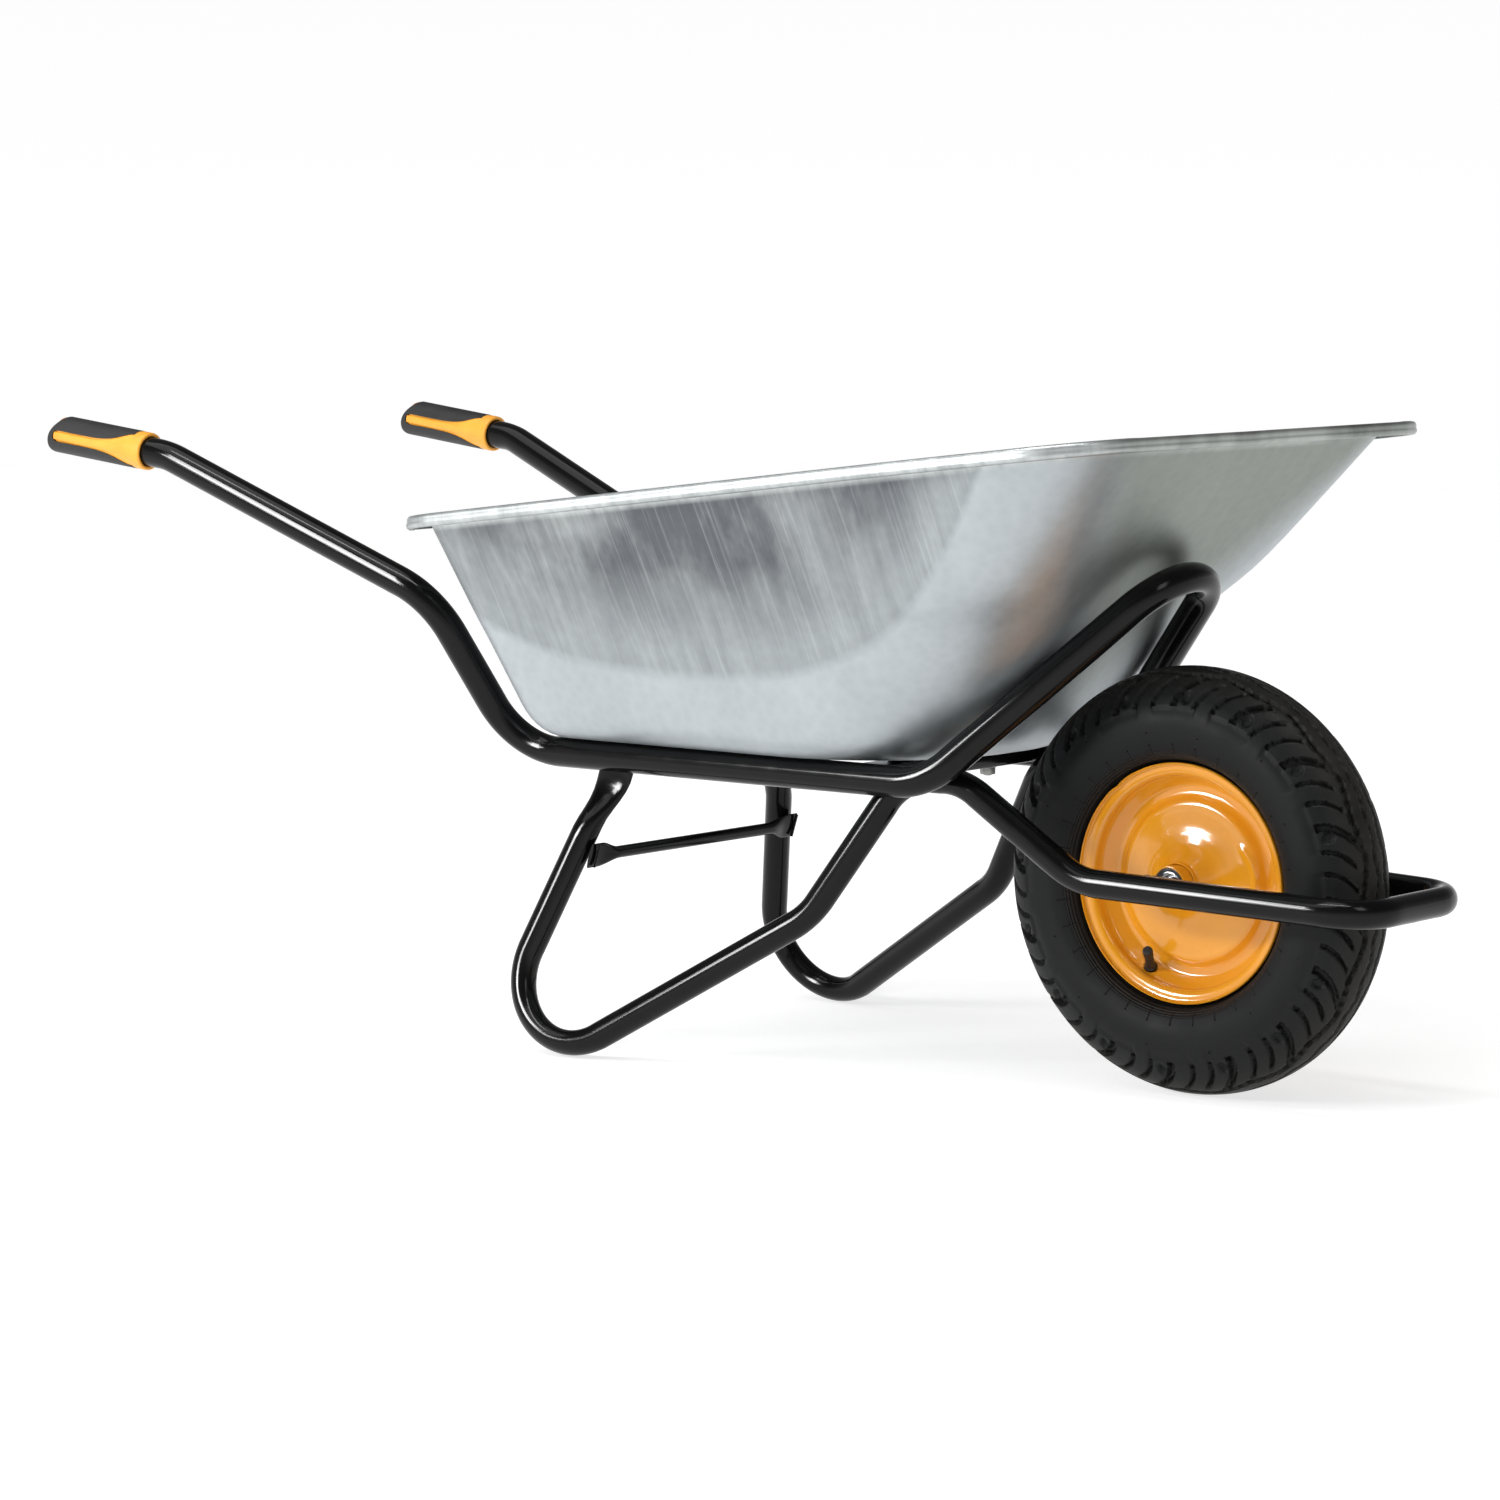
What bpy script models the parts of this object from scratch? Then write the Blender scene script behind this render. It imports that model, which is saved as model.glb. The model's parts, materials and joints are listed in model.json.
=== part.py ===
import math
import bpy
import bmesh
from mathutils import Matrix, Vector
from mathutils.geometry import delaunay_2d_cdt

# Wheelbarrow.  Metres, +Z up, +X towards the wheel, Y across.
# X = 0 is the middle of the overall length and Z = 0 the ground.

# ---------------------------------------------------------------- sizes
AXLE_X = 0.4963          # wheel axle ahead of the middle
AXLE_Z = 0.200           # axle height, tyre 0.400 across
GAP = 0.0003             # clearance where two pieces touch

TUBE_R = 0.0150          # handle and rail tube, 30 mm
LEG_R = 0.0135           # leg and bumper tube, 27 mm
TUBE_WALL = 0.0015
RAIL_Y = 0.1475          # rails under the tray
RAIL_Z = 0.2880

TRAY_WALL = 0.0010
TRAY_FLOOR_Z = RAIL_Z + TUBE_R + GAP      # underside of the floor, resting on the rails
DIMPLE_Z = TRAY_FLOOR_Z - 0.0050          # underside of the bolt dimples
BAR_TOP = DIMPLE_Z - GAP                  # top of the cross bars under the tray
BAR_H = 0.0170

BEARING_R = 0.0160       # 32 mm ball bearings on a 12 mm axle
AXLE_R = 0.0059
TURN = 32                # steps round the wheel

scene_collection = bpy.context.scene.collection
for old in list(bpy.data.objects):
    bpy.data.objects.remove(old, do_unlink=True)

parts = bpy.data.collections.new("wheelbarrow")
scene_collection.children.link(parts)
cutters = bpy.data.collections.new("cutters")
scene_collection.children.link(cutters)


# ---------------------------------------------------------------- materials
def paint(name, colour, roughness, metallic):
    mat = bpy.data.materials.new(name)
    mat.use_nodes = True
    shader = mat.node_tree.nodes["Principled BSDF"]
    shader.inputs["Base Color"].default_value = (*colour, 1.0)
    shader.inputs["Roughness"].default_value = roughness
    shader.inputs["Metallic"].default_value = metallic
    mat.diffuse_color = (*colour, 1.0)
    return mat


BLACK = paint("black_enamel", (0.012, 0.012, 0.013), 0.18, 0.0)
ZINC = paint("galvanised", (0.56, 0.59, 0.60), 0.34, 0.85)
ORANGE = paint("orange_enamel", (0.88, 0.36, 0.03), 0.16, 0.0)
RUBBER = paint("tyre_rubber", (0.018, 0.018, 0.018), 0.62, 0.0)
GRIP_BLACK = paint("grip_rubber", (0.015, 0.015, 0.016), 0.55, 0.0)
GRIP_YELLOW = paint("grip_plastic", (0.92, 0.42, 0.03), 0.42, 0.0)
STEEL = paint("bright_steel", (0.60, 0.60, 0.60), 0.28, 1.0)
ZINC_BOLT = paint("zinc_fastener", (0.50, 0.50, 0.48), 0.35, 1.0)


# ---------------------------------------------------------------- helpers
def at(x, y, z):
    return Vector((AXLE_X + x, y, z))


def add(name, mesh, mat, collection=parts):
    obj = bpy.data.objects.new(name, mesh)
    collection.objects.link(obj)
    mesh.materials.clear()
    mesh.materials.append(mat)
    return obj


def finish(name, bm, mat, collection=parts, smooth=True):
    bmesh.ops.remove_doubles(bm, verts=bm.verts, dist=1e-6)
    bmesh.ops.recalc_face_normals(bm, faces=bm.faces)
    mesh = bpy.data.meshes.new(name)
    bm.to_mesh(mesh)
    bm.free()
    if smooth:
        mesh.shade_smooth()
    return add(name, mesh, mat, collection)


def cut(obj, cutter, operation="DIFFERENCE", in_pieces=False):
    cutter.hide_render = True
    cutter.display_type = "WIRE"
    mod = obj.modifiers.new(cutter.name, "BOOLEAN")
    mod.object = cutter
    mod.operation = operation
    mod.solver = "EXACT"
    mod.use_self = in_pieces


def bent_path(corners, steps):
    """Straight runs joined by arcs.  corners: (point, bend radius)."""
    points = [corners[0][0]]
    for i in range(1, len(corners) - 1):
        corner, radius = corners[i]
        back = (corners[i - 1][0] - corner).normalized()
        ahead = (corners[i + 1][0] - corner).normalized()
        half = back.angle(ahead) / 2
        reach = radius / math.tan(half)
        middle = corner + (back + ahead).normalized() * (radius / math.sin(half))
        start = corner + back * reach - middle
        turn = math.pi - 2 * half
        axis = start.cross(corner + ahead * reach - middle).normalized()
        count = max(2, round(steps * turn / math.pi * 2))
        for k in range(count + 1):
            points.append(middle + Matrix.Rotation(turn * k / count, 3, axis) @ start)
    points.append(corners[-1][0])
    return points


def sweep(name, points, radius, resolution=3):
    curve = bpy.data.curves.new(name, "CURVE")
    curve.dimensions = "3D"
    spline = curve.splines.new("POLY")
    spline.points.add(len(points) - 1)
    for slot, point in zip(spline.points, points):
        slot.co = (*point, 1.0)
    curve.bevel_depth = radius
    curve.bevel_resolution = resolution
    temp = bpy.data.objects.new(name + "_path", curve)
    scene_collection.objects.link(temp)
    bpy.context.view_layer.update()
    graph = bpy.context.evaluated_depsgraph_get()
    mesh = bpy.data.meshes.new_from_object(temp.evaluated_get(graph))
    bpy.data.objects.remove(temp, do_unlink=True)
    bm = bmesh.new()
    bm.from_mesh(mesh)
    bpy.data.meshes.remove(mesh)
    return bm


def hollow(obj, wall):
    mod = obj.modifiers.new("wall", "SOLIDIFY")
    mod.thickness = wall
    mod.offset = -1.0
    mod.use_even_offset = True


def turned(name, profile, mat, steps=TURN, collection=parts, y0=0.0):
    """Spin a closed (radius, y) outline about the axle."""
    bm = bmesh.new()
    ring = [bm.verts.new(at(r, y + y0, AXLE_Z)) for r, y in profile]
    edges = [bm.edges.new((ring[i], ring[i - 1])) for i in range(len(ring))]
    bmesh.ops.spin(bm, geom=ring + edges, cent=at(0, 0, AXLE_Z), axis=(0, 1, 0),
                   angle=2 * math.pi, steps=steps, use_merge=True, use_duplicate=False)
    return finish(name, bm, mat, collection)


def rod(name, centre, axis, radius, length, mat, sides=16, collection=parts):
    bm = bmesh.new()
    turn = Vector((0, 0, 1)).rotation_difference(Vector(axis)).to_matrix().to_4x4()
    bmesh.ops.create_cone(bm, cap_ends=True, segments=sides, radius1=radius,
                          radius2=radius, depth=length,
                          matrix=Matrix.Translation(centre) @ turn)
    return finish(name, bm, mat, collection, smooth=False)


def block(name, centre, size, mat, collection=parts):
    bm = bmesh.new()
    bmesh.ops.create_cube(bm, size=1.0, matrix=Matrix.Translation(centre) @ Matrix.Diagonal((*size, 1.0)))
    return finish(name, bm, mat, collection, smooth=False)


def mirrored(point):
    return Vector((point.x, -point.y, point.z))


# ---------------------------------------------------------------- handle, rail and front loop tube
LOOP_PEAK = at(0.070, 0.0, 0.560)     # where the two front runs would meet
HANDLE_BEND = at(-1.0790, -0.2629, 0.5712)
GRIP_DIR = Vector((-0.1273, -0.0040, 0.0152)).normalized()
GRIP_FRONT = HANDLE_BEND + GRIP_DIR * 0.0250
side = [
    (GRIP_FRONT + GRIP_DIR * 0.1095, 0.0),
    (HANDLE_BEND, 0.080),
    (at(-0.7570, -0.2204, 0.4385), 0.085),
    (at(-0.7090, -RAIL_Y, RAIL_Z), 0.070),
    (at(-0.2060, -RAIL_Y, RAIL_Z), 0.070),
]
corners = side + [(LOOP_PEAK, 0.062)] + [(mirrored(p), r) for p, r in reversed(side)]
upper = finish("upper_frame_tube", sweep("upper", bent_path(corners, 5), TUBE_R), BLACK)
hollow(upper, TUBE_WALL)

# ---------------------------------------------------------------- leg and bumper tube
LEG_TOP = at(-0.5905, -0.1235, 0.2960)
LEG_FOOT = at(-0.7088, -0.2500, -0.0716)
BUMPER_REAR = at(-0.0640, -0.1010, 0.2040)
BUMPER_FRONT = at(0.2315, -0.0855, 0.1950)
side = [
    (LEG_TOP, 0.0),
    (LEG_FOOT, 0.0678),
    (at(-0.3391, -0.1514, 0.1526), 0.080),
    (at(-0.2540, -0.1165, 0.2890), 0.060),
    (at(-0.1900, -0.1110, 0.2890), 0.070),
    (BUMPER_REAR, 0.075),
    (BUMPER_FRONT, 0.045),
]
corners = side + [(mirrored(p), r) for p, r in reversed(side)]
leg_end = [LEG_TOP.lerp(LEG_FOOT, t) for t in (0.014, 0.060, 0.085, 0.120, 0.160, 0.205)]
path = leg_end + bent_path(corners, 5)[1:-1] + [mirrored(p) for p in reversed(leg_end)]
bm = sweep("lower", path, LEG_R)
FLAT_FROM = 0.218         # height where the flattening of the leg tops starts
for vert in bm.verts:
    if vert.co.z > FLAT_FROM and vert.co.x < AXLE_X - 0.45:
        share = min(1.0, (vert.co.z - FLAT_FROM) / 0.048)
        share = share * share * (3 - 2 * share)
        sign = math.copysign(1.0, vert.co.y)
        below = (LEG_TOP.z - vert.co.z) / (LEG_TOP.z - LEG_FOOT.z)
        leg_y = -LEG_TOP.y + (LEG_TOP.y - LEG_FOOT.y) * below
        leg_x = LEG_TOP.x + (LEG_FOOT.x - LEG_TOP.x) * below
        flat_y = RAIL_Y - TUBE_R - GAP - 0.0035
        off = abs(vert.co.y) - leg_y
        goal = flat_y + off * 0.24
        vert.co.y = sign * (abs(vert.co.y) * (1 - share) + goal * share)
        spread = 0.60 if vert.co.x > leg_x else 0.45
        vert.co.x = leg_x + (vert.co.x - leg_x) * (1 + spread * share)
lower = finish("lower_frame_tube", bm, BLACK)
hollow(lower, TUBE_WALL)
for i, y in enumerate((-0.008, 0.036)):
    drain = rod("drain_" + str(i + 1), at(BUMPER_FRONT.x - AXLE_X + 0.005, y, BUMPER_FRONT.z - 0.0125),
                (-0.37, 0, 0.93), 0.0018, 0.010, BLACK, 8, cutters)
    cut(lower, drain)

# ---------------------------------------------------------------- brace between the rear legs
BRACE_Z = 0.1895
BRACE_X = LEG_TOP.x + (LEG_FOOT.x - LEG_TOP.x) * (0.2960 - BRACE_Z) / 0.3686 + 0.0205
half = 0.161
stations = [-half, -0.150, -0.139, -0.129, -0.119, -0.060, 0.0]
path = [Vector((BRACE_X, y, BRACE_Z)) for y in stations + [-y for y in reversed(stations[:-1])]]
bm = sweep("brace", path, 0.006)
for vert in bm.verts:
    share = min(1.0, max(0.0, (abs(vert.co.y) - 0.119) / 0.028))
    share = share * share * (3 - 2 * share)
    rise = (vert.co.z - BRACE_Z) * (1 + 1.05 * share)
    vert.co.x = BRACE_X + (vert.co.x - BRACE_X) * (1 - 0.66 * share) + 0.314 * rise * share
    vert.co.z = BRACE_Z + rise
brace = finish("leg_brace", bm, BLACK)
hollow(brace, 0.0010)


# ---------------------------------------------------------------- cross bars under the tray
def cross_bar(name, x, width, half_length, bolts):
    bar = block(name, at(x, 0, BAR_TOP - BAR_H / 2), (width, 2 * half_length, BAR_H), BLACK)
    inside = block(name + "_bore", at(x, 0, BAR_TOP - BAR_H / 2),
                   (width - 0.003, 2 * half_length + 0.02, BAR_H - 0.003), BLACK, cutters)
    cut(bar, inside)
    for i, (bolt_x, y) in enumerate(bolts):
        hole = rod(name + "_hole_" + str(i + 1), at(bolt_x, y, BAR_TOP - BAR_H / 2), (0, 0, 1),
                   0.0044, 0.05, BLACK, 12, cutters)
        cut(bar, hole)
    return bar


BAR_HALF = RAIL_Y - TUBE_R - 0.0007
FRONT_BAR_X = -0.292
REAR_BAR_X = -0.637
REAR_BOLT_X = -0.626
BOLT_Y = 0.070
BOLTS = []
for end, bar_x, bolt_x in (("front", FRONT_BAR_X, FRONT_BAR_X), ("rear", REAR_BAR_X, REAR_BOLT_X)):
    cross_bar(end + "_cross_bar", bar_x, 0.036, BAR_HALF, [(bolt_x, -BOLT_Y), (bolt_x, BOLT_Y)])
    BOLTS += [(end + "_right", bolt_x, -BOLT_Y), (end + "_left", bolt_x, BOLT_Y)]


# ---------------------------------------------------------------- tray
def outline(x_rear, x_front, half_y, round_rear, round_front, arc=5, run=(2, 5, 3)):
    """Rounded rectangle in plan, the same point count whatever the sizes."""
    points = []
    quads = [(x_rear, -half_y, round_rear, 180, run[1]), (x_front, -half_y, round_front, 270, run[2]),
             (x_front, half_y, round_front, 0, run[1]), (x_rear, half_y, round_rear, 90, run[0])]
    for i, (x, y, radius, start, count) in enumerate(quads):
        cx = x - math.copysign(radius, x - (x_rear + x_front) / 2)
        cy = y - math.copysign(radius, y)
        for k in range(arc + 1):
            a = math.radians(start + 90 * k / arc)
            points.append(Vector((cx + radius * math.cos(a), cy + radius * math.sin(a), 0)))
        nx, ny, nr = quads[(i + 1) % 4][:3]
        ncx = nx - math.copysign(nr, nx - (x_rear + x_front) / 2)
        ncy = ny - math.copysign(nr, ny)
        b = math.radians(start + 90)
        last = points[-1]
        first = Vector((ncx + nr * math.cos(b), ncy + nr * math.sin(b), 0))
        for k in range(1, count):
            points.append(last.lerp(first, k / count))
    return points


def outward(ring):
    normals = []
    for i in range(len(ring)):
        step = ring[(i + 1) % len(ring)] - ring[i - 1]
        normals.append(Vector((step.y, -step.x, 0)).normalized())
    return normals


def rim_z(x):
    """Top of the rim flange, which rises towards the wheel and levels a little there."""
    return 0.5315 + 0.1207 * (x + 0.665) - 0.022 * max(0.0, x + 0.2) ** 2


def tray_rings():
    floor = outline(-0.676, -0.193, 0.186, 0.050, 0.172)
    waist = outline(-0.6978, -0.0855, 0.2270, 0.046, 0.138)
    chest = outline(-0.7072, -0.0370, 0.2454, 0.044, 0.104)
    wall = outline(-0.728, 0.070, 0.285, 0.042, 0.105)
    edge = outline(-0.7450, 0.0830, 0.305, 0.058, 0.088)
    floor_out = outward(floor)
    wall_out = outward(wall)
    edge_out = outward(edge)
    rings = [[] for _ in range(14)]
    for i in range(len(floor)):
        foot = Vector((floor[i].x, floor[i].y, TRAY_FLOOR_Z))
        head = Vector((wall[i].x, wall[i].y, rim_z(wall[i].x) - TRAY_WALL))
        part_way = foot.lerp(head, 0.42).z
        middle = Vector((waist[i].x, waist[i].y, part_way))
        climb = (middle - foot).normalized()
        inner = foot - floor_out[i] * 0.034
        outer = foot + climb * 0.040
        for k in range(5):
            t = k / 4
            rings[k].append(inner * (1 - t) ** 2 + foot * 2 * t * (1 - t) + outer * t ** 2)
        rings[5].append(middle)
        rings[6].append(Vector((chest[i].x, chest[i].y, foot.lerp(head, 0.60).z)))
        climb = (head - rings[6][-1]).normalized()
        flat = Vector((wall_out[i].x, wall_out[i].y, 0.1207 * wall_out[i].x))
        start = head - climb * 0.006
        stop = head + flat * 0.006
        for k in range(3):
            t = k / 2
            rings[7 + k].append(start * (1 - t) ** 2 + head * 2 * t * (1 - t) + stop * t ** 2)
        brink = Vector((edge[i].x, edge[i].y, rim_z(edge[i].x) - TRAY_WALL))
        lean = edge_out[i]
        drop = Vector((0, 0, 1))
        rings[10].append(brink - lean * 0.0035)
        rings[11].append(brink - lean * 0.0012 - drop * 0.0022)
        rings[12].append(brink - lean * 0.0012 - drop * 0.0085)
        rings[13].append(brink - lean * 0.0045 - drop * 0.0108)
    return [[Vector((p.x + AXLE_X, p.y, p.z)) for p in ring] for ring in rings]


bm = bmesh.new()
rings = [[bm.verts.new(p) for p in ring] for ring in tray_rings()]
for low, high in zip(rings, rings[1:]):
    for i in range(len(low)):
        bm.faces.new((low[i - 1], low[i], high[i], high[i - 1]))
floor_loops = [rings[0]]
for tag, x, y in BOLTS:
    circles = []
    for radius, z in ((0.0160, TRAY_FLOOR_Z), (0.0118, DIMPLE_Z), (0.0044, DIMPLE_Z)):
        circle = []
        for k in range(12):
            a = 2 * math.pi * k / 12
            circle.append(bm.verts.new(at(x + radius * math.cos(a), y + radius * math.sin(a), z)))
        circles.append(circle)
    for near, far in zip(circles, circles[1:]):
        for k in range(12):
            bm.faces.new((near[k - 1], near[k], far[k], far[k - 1]))
    floor_loops.append(circles[0])
# flat floor between its rim and the dimples
corners = [vert for loop in floor_loops for vert in loop]
borders = []
first = 0
for loop in floor_loops:
    borders += [(first + k, first + (k + 1) % len(loop)) for k in range(len(loop))]
    first += len(loop)
flat = delaunay_2d_cdt([vert.co.xy for vert in corners], borders, [], 1, 1e-7)
for face in flat[2]:
    trio = [corners[flat[3][k][0]] for k in face]
    centre = sum((vert.co for vert in trio), Vector()) / 3
    if all((centre.xy - at(x, y, 0).xy).length > 0.0150 for _, x, y in BOLTS):
        bm.faces.new(trio)
tray = finish("tray", bm, ZINC)
# the sheet is drawn on its outer side and thickened inwards
mod = tray.modifiers.new("sheet", "SOLIDIFY")
mod.thickness = TRAY_WALL
mod.use_even_offset = True
floor_face = min(tray.data.polygons, key=lambda face: (abs(face.center.z - TRAY_FLOOR_Z), abs(face.center.y)))
mod.offset = -1.0 if floor_face.normal.z < 0 else 1.0


# ---------------------------------------------------------------- tray fasteners
def lathe(name, origin, axis, profile, mat, steps=16, collection=parts):
    """Spin a closed (radius, height) outline about an axis through origin."""
    bm = bmesh.new()
    ring = [bm.verts.new((r, 0, h)) for r, h in profile]
    edges = [bm.edges.new((ring[i], ring[i - 1])) for i in range(len(ring))]
    bmesh.ops.spin(bm, geom=ring + edges, cent=(0, 0, 0), axis=(0, 0, 1),
                   angle=2 * math.pi, steps=steps, use_merge=True, use_duplicate=False)
    bmesh.ops.remove_doubles(bm, verts=bm.verts, dist=1e-6)
    bmesh.ops.dissolve_degenerate(bm, edges=bm.edges, dist=1e-7)
    loose = [f for f in bm.faces if f.calc_area() < 1e-13]
    bmesh.ops.delete(bm, geom=loose, context="FACES")
    turn = Vector((0, 0, 1)).rotation_difference(Vector(axis)).to_matrix().to_4x4()
    bmesh.ops.transform(bm, matrix=Matrix.Translation(origin) @ turn, verts=bm.verts)
    return finish(name, bm, mat, collection)


def ring_part(name, origin, axis, inner, outer, length, mat, steps=24, collection=parts):
    return lathe(name, origin, axis, [(inner, 0), (outer, 0), (outer, length), (inner, length)], mat,
                 steps, collection)


def nut(name, centre, axis, across, height, bore, mat):
    body = rod(name, centre, axis, across / math.sqrt(3), height, mat, 6)
    hole = rod(name + "_bore", centre, axis, bore, height * 3, mat, 12, cutters)
    cut(body, hole)
    return body


HEAD_BASE = DIMPLE_Z + TRAY_WALL + GAP
BAR_BASE = BAR_TOP - BAR_H
for tag, x, y in BOLTS:
    lathe("tray_bolt_" + tag, at(x, y, HEAD_BASE), (0, 0, 1),
          [(0, -0.0285), (0.0033, -0.0285), (0.0040, -0.0278), (0.0040, 0), (0.0092, 0), (0.0088, 0.0016),
           (0.0068, 0.0032), (0, 0.0042)], ZINC_BOLT, 12)
    ring_part("tray_washer_" + tag, at(x, y, BAR_BASE - GAP - 0.0016), (0, 0, 1), 0.0043, 0.0085, 0.0016,
              ZINC_BOLT, 12)
    nut("tray_nut_" + tag, at(x, y, BAR_BASE - 2 * GAP - 0.0016 - 0.0032), (0, 0, 1), 0.0130, 0.0064,
        0.0043, ZINC_BOLT)


# ---------------------------------------------------------------- wheel
def mm(pairs):
    return [(r / 1000, y / 1000) for r, y in pairs]


outer = mm([(101.9, -20.7), (105.0, -23.9), (112.4, -24.1), (114.2, -26.4), (116.0, -32.0), (118.6, -37.0),
            (128.0, -43.2), (140.0, -46.5), (153.0, -46.3), (166.0, -42.6), (179.0, -35.4), (191.2, -25.8),
            (198.4, -12.6), (200.0, 0.0)])
inner = mm([(101.9, -16.2), (114.0, -21.0), (124.0, -37.2), (143.0, -42.2), (164.0, -38.2), (181.0, -24.8),
            (190.5, 0.0)])
tyre_outline = outer + [(r, -y) for r, y in reversed(outer[:-1])]
tyre_outline += [(r, -y) for r, y in inner[:-1]] + list(reversed(inner))
tyre = turned("tyre", tyre_outline, RUBBER)


def sheet(name, profile, mat, thickness, steps=TURN):
    """Spin an open (radius, y) line about the axle and give it thickness."""
    bm = bmesh.new()
    line = [bm.verts.new(at(r, y, AXLE_Z)) for r, y in profile]
    edges = [bm.edges.new((line[i], line[i + 1])) for i in range(len(line) - 1)]
    bmesh.ops.spin(bm, geom=line + edges, cent=at(0, 0, AXLE_Z), axis=(0, 1, 0),
                   angle=2 * math.pi, steps=steps, use_merge=True, use_duplicate=False)
    obj = finish(name, bm, mat)
    mod = obj.modifiers.new("sheet", "SOLIDIFY")
    mod.thickness = thickness
    mod.offset = 0.0
    mod.use_even_offset = True
    return obj


RIM_WALL = 0.0016
RIM_LINE = [(111.4, 30.8), (112.0, 27.8), (109.4, 25.8), (104.4, 25.4), (100.6, 21.8), (100.6, 13.6),
            (92.6, 4.6), (89.6, 1.4), (80.6, 1.4), (73.0, 9.2), (66.0, 8.8), (48.0, 10.2), (32.0, 16.6),
            (22.4, 26.4), (19.3, 29.2), (19.3, 34.0)]
VALVE_AT = Vector((-math.sin(math.radians(28)), 0, -math.cos(math.radians(28))))
VALVE_BASE = at(0, 0, AXLE_Z) + VALVE_AT * 0.0964 + Vector((0, -0.0085, 0))
VALVE_DIR = (VALVE_AT * -0.72 + Vector((0, -0.695, 0))).normalized()

rim_near = sheet("rim_half_right", [(r / 1000, -y / 1000) for r, y in RIM_LINE], ORANGE, RIM_WALL)
rim_far = sheet("rim_half_left", [(r / 1000, y / 1000) for r, y in RIM_LINE], ORANGE, RIM_WALL)
cut(rim_near, rod("valve_hole", VALVE_BASE, VALVE_DIR, 0.0063, 0.012, ORANGE, 16, cutters))

tube_section = []
for k in range(10):
    a = 2 * math.pi * k / 10
    tube_section.append((0.1450 + 0.0375 * math.sin(a), 0.0345 * math.cos(a)))
inner_tube = turned("inner_tube", tube_section, RUBBER, 24)
hollow(inner_tube, 0.0016)
cut(inner_tube, rod("tube_hole", VALVE_BASE - VALVE_DIR * 0.018, VALVE_DIR, 0.0025, 0.024, RUBBER, 10, cutters))

lathe("valve_stem", VALVE_BASE, VALVE_DIR,
      mm([(0, -5.2), (3.2, -5.2), (5.2, -2.0), (5.2, 1.8), (6.1, 2.8), (6.1, 3.8), (5.0, 5.0), (4.2, 12.0),
          (4.2, 20.5), (2.6, 20.5), (2.6, 29.0), (0, 29.0)]), RUBBER, 14)
lathe("valve_cap", VALVE_BASE, VALVE_DIR,
      mm([(2.95, 20.9), (4.6, 20.9), (4.8, 22.0), (4.8, 31.0), (3.8, 32.2), (0, 32.4), (0, 29.4), (2.95, 29.4)]),
      RUBBER, 14)

turned("hub_tube", mm([(18.0, -48.0), (18.0, 48.0), (16.3, 48.0), (16.3, 37.6), (14.6, 37.6), (14.6, -37.6),
                       (16.3, -37.6), (16.3, -48.0)]), ORANGE, 32)

# ---------------------------------------------------------------- bearings and axle
for tag, s in (("right", -1), ("left", 1)):
    face = at(0, s * 0.0379, AXLE_Z)
    out = (0, s, 0)
    ring_part("bearing_outer_" + tag, face, out, 0.0134, BEARING_R, 0.0098, STEEL, 32)
    ring_part("bearing_inner_" + tag, face, out, AXLE_R + GAP, 0.0084, 0.0098, STEEL)
    ring_part("bearing_shield_" + tag, at(0, s * 0.0467, AXLE_Z), out, 0.0088, 0.0131, 0.0007, STEEL)
    ring_part("axle_spacer_" + tag, at(0, s * 0.0480, AXLE_Z), out, AXLE_R + GAP, 0.0082, 0.0096, BLACK)
    ring_part("axle_washer_" + tag, at(0, s * 0.0579, AXLE_Z), out, AXLE_R + GAP, 0.0088, 0.0018, ZINC_BOLT)
    nut("axle_nut_" + tag, at(0, s * 0.0646, AXLE_Z), (0, 1, 0), 0.0170, 0.0092, AXLE_R + GAP, ZINC_BOLT)
    boss = ring_part("axle_boss_" + tag, at(0, s * 0.0695, AXLE_Z), out, AXLE_R + GAP, 0.0120, 0.0220, BLACK)
    run = BUMPER_FRONT - BUMPER_REAR
    beside = BUMPER_REAR + run * ((AXLE_X - BUMPER_REAR.x) / run.x)
    saddle = rod("saddle_" + tag, (beside.x, -s * beside.y, beside.z), (run.x, -s * run.y, run.z),
                 LEG_R + GAP + 0.0002, 0.12, BLACK, 24, cutters)
    cut(boss, saddle)
ring_part("inner_spacer", at(0, -0.0376, AXLE_Z), (0, 1, 0), AXLE_R + GAP, 0.0082, 0.0752, STEEL)
rod("axle", at(0, 0, AXLE_Z), (0, 1, 0), AXLE_R, 0.1660, STEEL, 24)


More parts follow.
